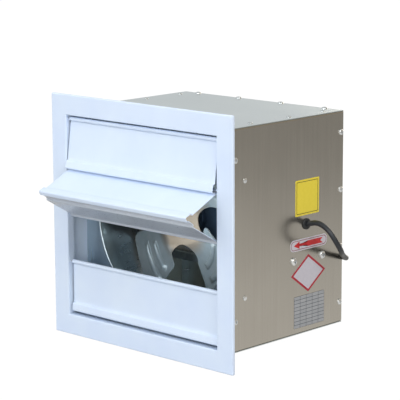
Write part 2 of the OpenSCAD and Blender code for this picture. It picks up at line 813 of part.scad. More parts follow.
module motor_front_cover() color(motor_black)
{
    boss_r = bearing_r + motor_wall;
    y0 = motor_y - boss_len;
    rim_y = motor_y + cover_len;
    seat_end = front_bearing_y + bearing_w;
    hole_r = shaft_r + shaft_hole_gap;
    seat_r = bearing_r + fit_gap;
    in_r = motor_r - motor_wall;
    difference()
    {
        union()
        {
            turned_y() polygon(concat([[hole_r, y0]],
                arc([boss_r - boss_round, y0 + boss_round], boss_round, 270, 360), [[boss_r, motor_y]],
                arc([motor_r - cover_round, motor_y + cover_round], cover_round, 270, 360),
                [[motor_r, rim_y], [in_r, rim_y], [in_r, motor_y + motor_wall],
                [boss_r, motor_y + motor_wall], [boss_r, seat_end], [seat_r, seat_end],
                [seat_r, front_bearing_y], [hole_r, front_bearing_y]]));
            ears(rim_y - ear_len, rim_y);
        }
        rod_y(in_r, rim_y - ear_len - cut, rim_y + cut);
        at_bolts() rod_y(bolt_r + hole_gap, rim_y - ear_len - cut, rim_y + cut);
    }
}

module motor_rear_cover() color(motor_black)
{
    boss_r = bearing_r + motor_wall;
    rim_y = motor_end_y - cover_len;
    seat_r = bearing_r + fit_gap;
    in_r = motor_r - motor_wall;
    in_y = motor_end_y - motor_wall;
    difference()
    {
        union()
        {
            turned_y() polygon(concat([[0, motor_end_y]],
                arc([motor_r - cover_round, motor_end_y - cover_round], cover_round, 90, 0),
                [[motor_r, rim_y], [in_r, rim_y], [in_r, in_y], [boss_r, in_y], [boss_r, rear_bearing_y],
                [seat_r, rear_bearing_y], [seat_r, in_y], [0, in_y]]));
            ears(rim_y, rim_y + ear_len);
        }
        rod_y(in_r, rim_y - cut, rim_y + ear_len + cut);
        at_bolts() rod_y(bolt_r + hole_gap, rim_y - cut, rim_y + ear_len + cut);
    }
}

// A ball bearing as one ring with grooved faces
module bearing(y)
{
    groove = bearing_race / 3;
    in = shaft_r + fit_gap + bearing_race;
    out = bearing_r - bearing_race;
    turned_y() polygon([[shaft_r + fit_gap, y], [in, y], [in, y + groove], [out, y + groove], [out, y],
        [bearing_r, y], [bearing_r, y + bearing_w], [out, y + bearing_w], [out, y + bearing_w - groove],
        [in, y + bearing_w - groove], [in, y + bearing_w], [shaft_r + fit_gap, y + bearing_w]]);
}

module front_bearing() color(zinc) bearing(front_bearing_y);
module rear_bearing() color(zinc) bearing(rear_bearing_y);

module motor_bolts() color(zinc)
{
    y0 = motor_y + cover_len - ear_len;
    y1 = motor_end_y - cover_len + ear_len;
    at_bolts()
    {
        rod_y(bolt_r, y0 - bolt_head_h / 2, y1 + bolt_head_h / 2);
        for (y = [y0 - bolt_head_h, y1]) translate([0, y, 0]) rotate([-90, 0, 0])
            cylinder(r = bolt_head_r, h = bolt_head_h, $fn = 6);
    }
}

module at_foot_screws() for (x = [-1, 1], s = [-1, 1])
    translate([x * foot_screw_x, motor_mid_y + s * (foot_len / 2 - foot_screw_inset), platform_z]) children();

module motor_foot() color(zinc)
{
    y0 = motor_mid_y - foot_len / 2;
    y1 = motor_mid_y + foot_len / 2;
    difference()
    {
        union()
        {
            box([-foot_half, y0, platform_z], [foot_half, y1, platform_z + foot_t]);
            intersection()
            {
                rod_y(motor_r + foot_t, y0, y1);
                box([-cradle_half, y0, platform_z], [cradle_half, y1, 0]);
            }
        }
        rod_y(motor_r + hole_gap, y0 - cut, y1 + cut);
        at_foot_screws() cylinder(r = foot_screw_r + hole_gap, h = foot_t + cut);
    }
}

module foot_screws() color(zinc)
    at_foot_screws() translate([0, 0, foot_t])
        pan_screw(foot_screw_head_r, foot_screw_head_h, foot_screw_r, foot_t + 2 * bracket_t);

// Channel of the platform, seen along X, with its front and rear edges folded down
function channel_section() = let (y0 = platform_mid_y - platform_w / 2, y1 = platform_mid_y + platform_w / 2,
    r = platform_fold_r, t = bracket_t, z = platform_z, low = z - platform_fold,
    ca = [y0 + r, z - r], cb = [y1 - r, z - r])
    concat([[y0, low]], arc(ca, r, 180, 90), arc(cb, r, 90, 0), [[y1, low], [y1 - t, low]],
    arc(cb, r - t, 0, 90), arc(ca, r - t, 90, 180), [[y0 + t, low]]);

// Strap of the bracket, seen along Y, with both ends turned up against the side panels
function strap_section() = let (w = inner_half_w, r = platform_fold_r, t = bracket_t,
    z = platform_z - bracket_t, top = platform_z + bracket_up, c = [w - r, z + r])
    concat([[-w, top]], arc([-c[0], c[1]], r, 180, 270), arc(c, r, 270, 360), [[w, top], [w - t, top]],
    arc(c, r - t, 360, 270), arc([-c[0], c[1]], r - t, 270, 180), [[t - w, top]]);

module bracket_hole(r)
    translate([0, 0, -bracket_t - cut]) cylinder(r = r + hole_gap, h = bracket_t + 2 * cut);

module motor_bracket() color(zinc)
{
    strap_half = platform_w / 2 - platform_fold_r;
    channel_half = inner_half_w - platform_end_gap;
    difference()
    {
        union()
        {
            plate_y(platform_mid_y - strap_half, platform_mid_y + strap_half) polygon(strap_section());
            bar_x(-channel_half, channel_half) polygon(channel_section());
        }
        at_bracket_screws() hole(bracket_screw_r, screw_len);
        at_foot_screws() bracket_hole(foot_screw_r);
        at_capacitor_screw() bracket_hole(screw_shank_r);
    }
}

module bracket_screws() color(zinc)
    at_bracket_screws() pan_screw(bracket_head_r, bracket_head_h, bracket_screw_r, bracket_screw_len);

module bracket_nuts() color(zinc)
{
    depth = housing_t + sheet_gap + bracket_t;
    nut_r = bracket_screw_r * nut_af_share;
    nut_h = bracket_screw_r * nut_h_share;
    at_bracket_screws() translate([0, 0, -depth - nut_h]) difference()
    {
        cylinder(r = nut_r, h = nut_h, $fn = 6);
        translate([0, 0, -cut]) cylinder(r = bracket_screw_r + fit_gap, h = nut_h + 2 * cut);
    }
}

cap_end_x = cap_x + cap_size[0];
module at_capacitor_screw() translate([cap_end_x + cap_lug / 2, motor_mid_y, platform_z]) children();

module capacitor() color(motor_black)
{
    y0 = motor_mid_y - cap_size[1] / 2;
    r = cap_round;
    difference()
    {
        union()
        {
            plate_y(y0, y0 + cap_size[1]) translate([cap_x, platform_z])
                polygon(concat([[0, 0], [cap_size[0], 0]], arc([cap_size[0] - r, cap_size[2] - r], r, 0, 90),
                arc([r, cap_size[2] - r], r, 90, 180)));
            box([cap_end_x - cap_round, y0, platform_z],
                [cap_end_x + cap_lug, y0 + cap_size[1], platform_z + cap_lug_t]);
        }
        at_capacitor_screw() translate([0, 0, -cut])
            cylinder(r = screw_shank_r + hole_gap, h = cap_lug_t + 2 * cut);
    }
}

module capacitor_screw() color(zinc)
    at_capacitor_screw() translate([0, 0, cap_lug_t])
        pan_screw(screw_head_r, screw_head_h, screw_shank_r, screw_len);

module rear_plate() color(stainless_light)
{
    y0 = housing_depth - rear_flange_w;
    difference()
    {
        plate_y(y0, housing_depth) union()
        {
            square([2 * inner_half_w, 2 * inner_half_h], true);
            square([2 * tab_half, 2 * inner_half_w], true);
        }
        plate_y(y0 - cut, housing_depth - rear_t) union()
        {
            square([2 * (inner_half_w - rear_t), 2 * (inner_half_h - rear_t)], true);
            square([2 * (tab_half - rear_t), 2 * (inner_half_w - rear_t)], true);
        }
        rod_y(rear_open_r, y0, housing_depth + cut);
        at_rear_side_screws() hole(screw_shank_r, screw_len);
        top_and_bottom() at_rear_top_screws() hole(screw_shank_r, screw_len);
        at_clips() rod_y(screw_shank_r + hole_gap, y0, housing_depth + cut);
    }
}

module rear_plate_screws() color(zinc)
{
    at_rear_side_screws() pan_screw(screw_head_r, screw_head_h, screw_shank_r, screw_len);
    top_and_bottom() at_rear_top_screws() pan_screw(screw_head_r, screw_head_h, screw_shank_r, screw_len);
}

module rear_guard() color(zinc)
{
    for (k = [0:guard_rings - 1]) translate([0, guard_ring_y, 0])
        turned_y() translate([guard_ring_first + k * guard_pitch, 0]) circle(guard_wire_r, $fn = 24);
    for (k = [0:guard_spokes - 1]) rotate([0, 360 * k / guard_spokes, 0]) translate([0, guard_spoke_y, 0])
        rod_x(guard_wire_r, guard_ring_first - guard_wire_r, guard_r + guard_wire_r);
}

clip_screw_at = guard_r + guard_wire_r + clip_t + clip_foot / 2;
module at_clips()
    for (k = [0:3]) rotate([0, clip_turn + 90 * k, 0]) translate([clip_screw_at, 0, 0]) children();

module guard_clips() color(zinc)
{
    plate = housing_depth - rear_t;
    top = guard_ring_y - guard_wire_r - hole_gap;
    step = -clip_foot / 2;
    at_clips() difference()
    {
        union()
        {
            box([step, plate - clip_t, -clip_w / 2], [-step, plate, clip_w / 2]);
            box([step - clip_t, top - clip_t, -clip_w / 2], [step, plate, clip_w / 2]);
            box([step - clip_t - 2 * guard_wire_r - clip_reach, top - clip_t, -clip_w / 2],
                [step, top, clip_w / 2]);
        }
        rod_y(screw_shank_r + hole_gap, plate - clip_t - cut, plate + cut);
    }
}

module guard_clip_screws() color(zinc)
    at_clips() translate([0, housing_depth - rear_t - clip_t, 0]) rotate([90, 0, 0])
        pan_screw(screw_head_r, screw_head_h, screw_shank_r, clip_t + 2 * rear_t);

module cable_grommet() color(rubber)
{
    back = housing_t + grommet_face_t;
    r = grommet_face_t / 2;
    bore = lead_r + hole_gap;
    seat = -housing_t - hole_gap;
    on_right(lead_exit[0], lead_exit[1]) rotate_extrude() polygon(concat([[bore, -back], [grommet_r, -back],
        [grommet_r, seat], [grommet_groove_r, seat], [grommet_groove_r, hole_gap], [grommet_r, hole_gap]],
        arc([grommet_r - r, grommet_face_t - r], r, 0, 90), [[bore, grommet_face_t]]));
}

module inner_lead() color(rubber)
    translate([0, lead_exit[0], lead_exit[1]])
        rod_x(lead_r, motor_r - motor_wall, grommet_face_x - lead_join_gap);

lead_start = [grommet_face_x, lead_exit[0], lead_exit[1]];
free_path = concat([lead_start], lead_route, [coil_start]);

module power_lead() color(rubber) skin(tube_rings(free_path, lead_r, lead_sides, [0, 0, 1]));

// Middle line of the coil: the turns spiral in on the near layer and out again on the far one
coil_turns = 2 * layer_loops;
climb_share = 0.5;
function coil_point(t) = let (r = coil_r - coil_pitch * min(t, coil_turns - t), a = 90 + 360 * t,
    climb = smooth((t - layer_loops) / climb_share + 0.5))
    [coil_centre[0] + r * cos(a), coil_y + coil_pitch * climb, coil_centre[1] + r * sin(a)];
coil_last = coil_point(coil_turns);
coil_path = concat([coil_start], [for (i = [0:coil_turns * coil_steps]) coil_point(i / coil_steps)],
    [coil_last - [lead_d, 0, 0]]);
coil_end = coil_path[len(coil_path) - 1];
plug_at = coil_end - [plug_lead_len, 0, 0];

module lead_coil() color(rubber) skin(tube_rings(coil_path, lead_r, coil_sides, [0, 1, 0]));

// Least distance between turns, measured between points more than half a turn apart
coil_least_gap = min([for (i = [0:len(coil_path) - 1], j = [i + coil_steps / 2:len(coil_path) - 1])
    norm(coil_path[i] - coil_path[j])]) - lead_d;
function run(path, i = 1) = i >= len(path) ? 0 : norm(path[i] - path[i - 1]) + run(path, i + 1);
echo(coil_least_gap = coil_least_gap, free_length = run(free_path), coil_length = run(coil_path));

// The tie takes in the coil and the guard's spoke behind it
module coil_tie() color(nylon)
{
    inner = coil_r - coil_pitch * layer_loops - lead_r - tie_gap;
    outer = coil_r + lead_r + tie_gap;
    y0 = guard_spoke_y - guard_wire_r - tie_gap;
    y1 = coil_y + coil_pitch + lead_r + tie_gap;
    translate([coil_centre[0], 0, coil_centre[1]]) rotate([0, -tie_angle, 0]) translate([0, 0, -tie_w / 2])
        linear_extrude(tie_w) difference()
        {
            rounded_box_2d([inner - tie_t, y0 - tie_t], [outer + tie_t, y1 + tie_t], tie_corner);
            rounded_box_2d([inner, y0], [outer, y1], tie_corner - tie_t);
        }
}

module rounded_box_2d(lo, hi, r)
{
    translate([lo[0] + r, lo[1]]) square([hi[0] - lo[0] - 2 * r, hi[1] - lo[1]]);
    translate([lo[0], lo[1] + r]) square([hi[0] - lo[0], hi[1] - lo[1] - 2 * r]);
    for (x = [lo[0] + r, hi[0] - r], y = [lo[1] + r, hi[1] - r]) translate([x, y]) circle(r);
}

module plug_lead() color(rubber)
    skin(tube_rings([for (i = [0:2]) mix(coil_end, plug_at, i / 2)], lead_r, lead_sides, [0, 0, 1]));

module plug_body() color(rubber)
{
    neck_share = 0.62;
    translate(plug_at) rotate([0, -90, 0])
    {
        rotate_extrude() polygon([[0, 0], [lead_r, 0], [plug_th / 2 * neck_share, relief_len],
            [plug_th / 2 * neck_share, relief_len + plug_round], [0, relief_len + plug_round]]);
        translate([0, 0, relief_len]) linear_extrude(plug_len)
            rounded_box_2d([-plug_w / 2, -plug_th / 2], [plug_w / 2, plug_th / 2], plug_round);
    }
}

module plug_pins() color(zinc)
{
    for (s = [-1, 1]) translate(plug_at + [-relief_len - plug_len, 0, s * pin_pitch / 2])
        rotate([0, -90, 0]) cylinder(r = pin_r, h = pin_len);
}

front_frame();
frame_collar();
louvre_1();
louvre_2();
louvre_3();
louvre_4();
louvre_wires();
housing_left();
housing_right();
housing_top();
housing_bottom();
housing_rivets();
collar_screws();
fan_ring();
ring_rivets();
impeller();
impeller_hub();
hub_rivets();
hub_set_screw();
motor_shaft();
rotor_core();
stator_core();
stator_windings();
motor_shell();
motor_front_cover();
motor_rear_cover();
front_bearing();
rear_bearing();
motor_bolts();
motor_foot();
foot_screws();
motor_bracket();
bracket_screws();
bracket_nuts();
capacitor();
capacitor_screw();
rear_plate();
rear_plate_screws();
rear_guard();
guard_clips();
guard_clip_screws();
cable_grommet();
inner_lead();
power_lead();
lead_coil();
coil_tie();
plug_lead();
plug_body();
plug_pins();
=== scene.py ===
"""Looks of the axial wall fan: coated louvres, steel housing, pressed impeller, mains lead and labels."""

import json
import math

import bmesh
import bpy
import numpy as np
from mathutils import Matrix, Vector


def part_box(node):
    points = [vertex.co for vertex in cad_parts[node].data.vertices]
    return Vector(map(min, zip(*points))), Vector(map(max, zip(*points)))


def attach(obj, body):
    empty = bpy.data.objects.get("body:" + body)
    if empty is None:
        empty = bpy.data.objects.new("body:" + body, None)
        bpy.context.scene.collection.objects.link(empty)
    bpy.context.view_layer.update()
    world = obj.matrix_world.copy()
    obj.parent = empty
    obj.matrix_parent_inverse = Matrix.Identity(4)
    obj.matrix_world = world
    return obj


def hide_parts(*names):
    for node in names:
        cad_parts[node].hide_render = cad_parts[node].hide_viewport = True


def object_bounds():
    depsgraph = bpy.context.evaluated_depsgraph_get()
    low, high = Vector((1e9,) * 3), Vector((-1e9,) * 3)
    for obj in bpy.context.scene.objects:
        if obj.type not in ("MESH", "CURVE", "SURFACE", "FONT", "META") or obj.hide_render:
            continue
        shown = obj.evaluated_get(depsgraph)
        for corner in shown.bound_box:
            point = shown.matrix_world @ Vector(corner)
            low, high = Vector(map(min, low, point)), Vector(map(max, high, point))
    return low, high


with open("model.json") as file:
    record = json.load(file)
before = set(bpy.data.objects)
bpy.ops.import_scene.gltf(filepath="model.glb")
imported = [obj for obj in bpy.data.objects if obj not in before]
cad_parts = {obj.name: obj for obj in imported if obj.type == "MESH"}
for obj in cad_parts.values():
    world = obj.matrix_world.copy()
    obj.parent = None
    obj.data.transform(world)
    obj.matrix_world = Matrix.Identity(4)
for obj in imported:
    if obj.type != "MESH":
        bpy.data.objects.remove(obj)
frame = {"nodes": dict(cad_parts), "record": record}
cad_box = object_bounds()
scene = bpy.context.scene

# Shapes are worked out in millimetres, and meshes are in metres
MM = 0.001

# Camera of the photograph

CAMERA_PLACE = (1.4958, -1.4796, 0.4417)
CAMERA_TURN = 43.402
CAMERA_DOWN = 10.954
CAMERA_ROLL = -0.268
CAMERA_LENS = 163.57


def add_camera():
    """Camera 2.15 m from the fan, looking rearwards, 43.4 degrees to the left and 11 degrees down."""
    data = bpy.data.cameras.new("camera")
    data.lens = CAMERA_LENS
    data.sensor_width = 36.0
    data.sensor_fit = "HORIZONTAL"
    data.clip_start = 0.05
    data.clip_end = 50.0
    camera = bpy.data.objects.new("camera", data)
    scene.collection.objects.link(camera)
    turn = Matrix.Rotation(math.radians(CAMERA_TURN), 4, "Z")
    turn = turn @ Matrix.Rotation(math.radians(90 - CAMERA_DOWN), 4, "X")
    turn = turn @ Matrix.Rotation(math.radians(CAMERA_ROLL), 4, "Z")
    camera.matrix_world = Matrix.Translation(CAMERA_PLACE) @ turn
    scene.camera = camera


add_camera()

# Surfaces worked out with numpy


def surface(name, points, around=False, along=False, caps=(), sharp=35, slots=None):
    """Object from a grid of points in millimetres, shape (rows, columns, 3).

    Each cell of the grid is one face. The grid closes on itself across its columns where
    around is true and across its rows where along is true. caps are extra faces given as rows
    of vertex numbers. Points that meet are merged and the faces are turned outwards. slots gives
    each column of faces the number of its material.
    """
    points = np.asarray(points, float)
    rows, columns = points.shape[:2]
    i = np.arange(rows if along else rows - 1)
    j = np.arange(columns if around else columns - 1)
    i, j = np.meshgrid(i, j, indexing="ij")
    a = i * columns + j
    b = i * columns + (j + 1) % columns
    c = (i + 1) % rows * columns + (j + 1) % columns
    d = (i + 1) % rows * columns + j
    faces = np.stack([a, b, c, d], -1).reshape(-1, 4).tolist() + [list(map(int, f)) for f in caps]
    mesh = bpy.data.meshes.new(name)
    mesh.from_pydata((points.reshape(-1, 3) * MM).tolist(), [], faces)
    if slots is not None:
        numbers = np.r_[np.broadcast_to(slots, a.shape).ravel(), np.zeros(len(caps), int)]
        mesh.polygons.foreach_set("material_index", numbers.tolist())
    return finished(name, mesh, sharp)


def finished(name, mesh, sharp):
    """Object of a mesh whose doubles are merged, whose faces point outwards and whose folds stay crisp."""
    work = bmesh.new()
    work.from_mesh(mesh)
    bmesh.ops.remove_doubles(work, verts=work.verts, dist=1e-6)
    bmesh.ops.dissolve_degenerate(work, edges=work.edges, dist=1e-7)
    bmesh.ops.recalc_face_normals(work, faces=work.faces)
    work.to_mesh(mesh)
    work.free()
    mesh.shade_smooth()
    mesh.set_sharp_from_angle(angle=math.radians(sharp))
    piece = bpy.data.objects.new(name, mesh)
    scene.collection.objects.link(piece)
    return piece


def joined(pieces, name):
    """One object of that name, with the meshes of several objects that it takes the place of."""
    mesh = bpy.data.meshes.new(name)
    work = bmesh.new()
    for piece in pieces:
        work.from_mesh(piece.data)
        bpy.data.objects.remove(piece)
    work.to_mesh(mesh)
    work.free()
    whole = bpy.data.objects.new(name, mesh)
    scene.collection.objects.link(whole)
    return whole


def smooth(v):
    """Ease from 0 to 1: v squared times 3 minus 2 v, held at both ends."""
    v = np.clip(v, 0, 1)
    return v * v * (3 - 2 * v)


def arc(centre, radius, start, end, steps):
    """Points of an arc in a plane: the centre plus radius times cosine and sine of the angle."""
    angle = np.radians(np.linspace(start, end, steps))
    return np.stack([centre[0] + radius * np.cos(angle), centre[1] + radius * np.sin(angle)], -1)


# Mains lead: from the grommet, round the housing's rear edge, into the coil and out to the plug

LEAD_R = 3.25
EXIT = (133.25, 147.3, 2.0)
# the free stretch
ROUTE = [(139.5, 147.7, 3.8), (145.8, 148.3, 5), (152.2, 148.8, 4), (158.4, 149.4, 1.2), (164, 150.3, -3),
         (168.6, 152, -9.2), (171.4, 155.6, -17), (170.8, 162.4, -25), (166.4, 171, -31.4),
         (159.4, 180.4, -35.6), (152, 191.2, -40), (145.2, 203, -45.6), (137.9, 215.4, -50),
         (127.2, 223.4, -52), (114.8, 227.4, -52.9), (101.6, 228, -53), (88.6, 225.5, -52.3),
         (76, 221.9, -51.5), (63, 219.5, -51)]
COIL_CENTRE = (45.0, -96.0)
COIL_R = 45.0
COIL_PITCH = 7.2
COIL_Y = 219.15
COIL_TURNS = 5.0
CLIMB_TURNS = 0.5
PLUG_RUN = 36.0


def coil_points(steps):
    """Coil of two flat layers.

    The radius falls by one pitch a turn and grows again, while the depth climbs by a pitch between.
    """
    t = np.linspace(0, COIL_TURNS, steps)
    r = COIL_R - COIL_PITCH * np.minimum(t, COIL_TURNS - t)
    a = np.radians(90 + 360 * t)
    y = COIL_Y + COIL_PITCH * smooth((t - COIL_TURNS / 2) / CLIMB_TURNS + 0.5)
    return np.stack([COIL_CENTRE[0] + r * np.cos(a), y, COIL_CENTRE[1] + r * np.sin(a)], -1)


def through(knots, steps):
    """Smooth curve through knots: the cubic whose slope at each knot is that of its two neighbours.

    It starts along +X and ends along -X.
    """
    knots = np.asarray(knots, float)
    chord = np.r_[0, np.cumsum(np.linalg.norm(np.diff(knots, axis=0), axis=1))]
    slope = np.gradient(knots, chord, axis=0)
    slope[0] = (1, 0, 0)
    slope[-1] = (-1, 0, 0)
    at = np.linspace(0, chord[-1], steps)
    k = np.clip(np.searchsorted(chord, at, side="right") - 1, 0, len(knots) - 2)
    h = (chord[k + 1] - chord[k])[:, None]
    s = (at - chord[k])[:, None] / h
    return ((1 + 2 * s) * (1 - s) ** 2 * knots[k] + s * (1 - s) ** 2 * h * slope[k]
            + s * s * (3 - 2 * s) * knots[k + 1] - s * s * (1 - s) * h * slope[k + 1])


def lead_path():
    """Middle line of the whole lead: free stretch, coil, and straight run to the plug."""
    coil = coil_points(241)
    into = coil[0] + (2 * LEAD_R, 0, 0)
    out = coil[-1] - (2 * LEAD_R, 0, 0)
    free = through([EXIT, *ROUTE, into], 40)
    tail = np.linspace(out, out - (PLUG_RUN, 0, 0), 5)
    return np.vstack([free, coil, tail])


def tube(name, path, radius, sides=16):
    """Round tube along a path: at each point a circle square to the path.

    The circle's first direction is the cross product of the path's with Y.
    """
    d = np.gradient(path, axis=0)
    d /= np.linalg.norm(d, axis=1)[:, None]
    u = np.cross(d, (0, 1, 0))
    u /= np.linalg.norm(u, axis=1)[:, None]
    v = np.cross(d, u)
    a = np.linspace(0, 2 * np.pi, sides, endpoint=False)
    ring = np.cos(a)[None, :, None] * u[:, None] + np.sin(a)[None, :, None] * v[:, None]
    last = (len(path) - 1) * sides
    caps = [range(sides), range(last, last + sides)]
    return surface(name, path[:, None] + radius * ring, around=True, caps=caps)


# Plug: half width and half depth at distances from the lead, and the places of its grip's grooves
PLUG_STATIONS = [0, 0.4, 1.5, 3, 5, 7, 9, 11, 13, 15, 18, 21, 22, 24, 25, 27, 28, 30, 31, 34, 38, 42,
                 44.6, 45.6, 46, 46]
PLUG_AT = [0, 12, 16, 22, 40, 45, 46]
PLUG_WIDE = [3.6, 5.2, 9.6, 12.4, 12.9, 12.6, 11.6]
PLUG_DEEP = [3.6, 4.9, 6.4, 7.2, 7.3, 7.1, 6.2]
PLUG_GROOVES = [22, 25, 28, 31]
GROOVE_DEPTH = 0.45


def plug_shape(start):
    """Moulded plug: sections along -X, swelling from the lead to the grip and back to the face.

    A section is a superellipse, whose power turns it from round at the lead to square at the grip.
    """
    stations = np.array(PLUG_STATIONS)
    groove = GROOVE_DEPTH * np.isin(stations, PLUG_GROOVES)
    wide = np.interp(stations, PLUG_AT, PLUG_WIDE) - groove
    deep = np.interp(stations, PLUG_AT, PLUG_DEEP) - groove
    wide[[0, -1]] = 0.0
    deep[[0, -1]] = 0.0
    a = np.linspace(0, 2 * np.pi, 48, endpoint=False)
    power = 2 / np.interp(stations, [12, 24], [2.0, 3.4])[:, None]
    z = wide[:, None] * np.sign(np.cos(a)) * np.abs(np.cos(a)) ** power
    y = deep[:, None] * np.sign(np.sin(a)) * np.abs(np.sin(a)) ** power
    x = np.repeat(-stations[:, None], len(a), 1)
    return surface("plug_grip", start + np.stack([x, y, z], -1), around=True, sharp=50)


path = lead_path()
lead = tube("mains_lead", path, LEAD_R)
plug = plug_shape(path[-1])
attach(lead, "housing")
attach(plug, "housing")
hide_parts("power_lead", "lead_coil", "plug_lead")
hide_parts("plug_body")

# Louvres

LOUVRE_T = 0.8
LOUVRE_HALF = 122.3
# for each louvre: opening angle, how much longer its face is, radius of its lower bend, length of its hem
LOUVRES = [(7.5, 1.7, 1.8, 3.8), (64.5, 0.0, 1.8, 3.8), (120.0, 0.0, 1.0, 0.2), (0.0, 3.3, 1.8, 3.8)]
# the sheet's middle line: rolled edge, neck, flat face, step at the crease, and bulge down to the lip
ROLL_R = 2.2
ROLL_STEPS = 22
NECK_H = 4.8
FACE_X = -0.4
FACE_END = 48.0
CREASE_OUT = 2.6
CREASE_H = 2.4
BULGE_OUT = 0.8
LIP_END = 58.9
CROWN = 0.25
HINGES = {joint["name"]: joint["pos_m"] for joint in frame["record"]["behaviour"]["joints"]}


def louvre_section(more, bend, hem):
    """Middle line of a louvre's sheet as distance in front of the hinge and distance below it.

    The top edge is rolled round the hinge wire, an S bend leads into the flat face, and the
    lower edge steps forward at a crease and turns back in a tight bend of a given radius, with a
    hem of a given length behind it. more lengthens the face.
    """
    lip_x = FACE_X + CREASE_OUT + BULGE_OUT - bend
    roll = arc((0, 0), ROLL_R, -55, 180, ROLL_STEPS) * (1, -1)
    s = np.linspace(0, 1, 10)[1:]
    neck = np.stack([-ROLL_R + (ROLL_R + FACE_X) * smooth(s), NECK_H * s], -1)
    face = np.stack([np.full(12, FACE_X), np.linspace(NECK_H, FACE_END + more, 13)[1:]], -1)
    s = np.linspace(0, LIP_END - FACE_END - bend, 26)[1:]
    step = CREASE_OUT * smooth(s / CREASE_H) + BULGE_OUT * s / s[-1]
    bulge = np.stack([FACE_X + step, FACE_END + more + s], -1)
    lip = arc((lip_x, LIP_END - bend + more), bend, 0, 90, 9)
    back = np.stack([lip_x - hem * np.linspace(0, 1, 5)[1:], np.full(4, LIP_END + more)], -1)
    return np.vstack([roll, neck, face, bulge, lip, back])


def louvre(k):
    """One louvre: its section's two faces, half a sheet either side of the middle line, carried along X.

    The flat face has a crown, a parabola along X, and the sheet thins at its ends and edges.
    """
    angle, more, bend, hem = LOUVRES[k]
    hinge_y, hinge_z = (c / MM for c in HINGES[f"louvre_{k + 1}_swing"][1:])
    line = louvre_section(more, bend, hem)
    d = np.gradient(line, axis=0)
    d /= np.linalg.norm(d, axis=1)[:, None]
    half = np.full((len(line), 1), LOUVRE_T / 2)
    half[[0, -1]] *= 0.6
    offset = half * np.stack([-d[:, 1], d[:, 0]], -1)
    loop = np.vstack([line + offset, (line - offset)[::-1]])
    middle = np.vstack([line, line[::-1]])
    x = LOUVRE_HALF * np.r_[-1, -0.9985, np.linspace(-0.97, 0.97, 27), 0.9985, 1]
    thin = np.where(np.abs(x) == LOUVRE_HALF, 0.8, 1.0)
    section = middle[None] + thin[:, None, None] * (loop - middle)[None]
    below = section[:, :, 1]
    on_face = smooth((below - 6) / 20) * smooth((FACE_END - below) / 12)
    y = -(section[:, :, 0] + CROWN * (1 - (x / LOUVRE_HALF) ** 2)[:, None] * on_face)
    z = -below
    turn = math.radians(-angle)
    points = np.stack([np.repeat(x[:, None], len(loop), 1),
                       hinge_y + y * math.cos(turn) - z * math.sin(turn),
                       hinge_z + y * math.sin(turn) + z * math.cos(turn)], -1)
    n = len(loop)
    i = np.arange(len(line) - 1)
    ends = [np.stack([e + i, e + i + 1, e + n - 2 - i, e + n - 1 - i], -1) for e in (0, (len(x) - 1) * n)]
    column = np.arange(n)
    # the reverse side of the sheet, behind the roll, takes the second material, the coat with painted shade
    reverse_side = (column >= ROLL_STEPS) & (column < len(line) - 1)
    piece = surface(f"louvre_sheet_{k + 1}", points, around=True, caps=np.vstack(ends).tolist(), sharp=40,
                    slots=reverse_side.astype(int))
    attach(piece, f"louvre_{k + 1}")
    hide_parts(f"louvre_{k + 1}")
    return piece


louvres = [louvre(k) for k in range(4)]

# Impeller: pressed from one sheet, with a relief hole between each two blades

HUB_R, HUB_Y, SHEET = 29.5, 67.0, 1.2
HUB_HOLE_R, HUB_EDGE = 5.8, 0.3
TIP_R, TIP_CORNER = 103.0, 8.0
RELIEF_AT, RELIEF_R = 46.0, 16.5
LOBE_IN, LOBE_CORNER, LEADING_W = 39.6, 6.0, 36.0
TRAILING_ANGLE, TRAILING_OPENS = 30.5, 2.5
# each blade ends just short of its eighth of the circle
BLADE_HALF, BLADE_END = 45, 44.5
BLADE_TURN = 51
TILT, CAMBER = math.tan(math.radians(19.8)), 2.5
# ribs: radius, first angle and last angle from the blade's middle
RIBS = [(80.0, -24.0, 24.0), (63.5, -20.0, 25.0)]
RIB_HALF_W, RIB_H, RIB_FADE = 4.4, 2.8, 7
FOLD_H = 0.9
SEAM = 0.12


def relief_angle(r):
    """Half angle in degrees at which the relief hole cuts the circle of radius r, by the law of cosines."""
    c = (r * r + RELIEF_AT ** 2 - RELIEF_R ** 2) / (2 * RELIEF_AT * r)
    return BLADE_HALF - np.degrees(np.arccos(np.clip(c, -1, 1)))


def corner_angle(r):
    """Angle that the rounding of a tip corner takes off at radius r."""
    over = np.maximum(r - (TIP_R - TIP_CORNER), 0)
    return np.degrees((TIP_CORNER - np.sqrt(np.maximum(TIP_CORNER ** 2 - over * over, 0))) / r)


def leading_angle(r):
    """Leading edge: relief hole, rounded corner, then a straight line beside the blade's middle."""
    lobe = (LOBE_IN + LOBE_CORNER, LEADING_W - LOBE_CORNER)
    reach = math.hypot(*lobe)
    cosine = (r * r + reach ** 2 - LOBE_CORNER ** 2) / (2 * r * reach)
    rounded = math.degrees(math.atan2(lobe[1], lobe[0])) + np.degrees(np.arccos(np.clip(cosine, -1, 1)))
    side = np.degrees(np.arccos(np.minimum(LOBE_IN / r, 1)))
    hole = np.maximum(np.minimum(relief_angle(r), BLADE_END), side)
    straight = np.degrees(np.arcsin(np.minimum(LEADING_W / r, 1))) - corner_angle(r)
    start, end = math.hypot(LOBE_IN, lobe[1]), math.hypot(lobe[0], LEADING_W)
    return np.select([r < HUB_R, r < start, r < end], [np.full_like(r, BLADE_END), hole, rounded], straight)


def trailing_angle(r):
    """Trailing edge: relief hole, then a line that opens by 2.5 degrees over a quarter of the blade."""
    hole = np.minimum(relief_angle(r), BLADE_END)
    straight = TRAILING_ANGLE + TRAILING_OPENS * np.clip((r / TIP_R - 0.545) / 0.28, 0, 1)
    return -np.where(r < RELIEF_AT, hole, np.minimum(hole, straight)) + corner_angle(r)


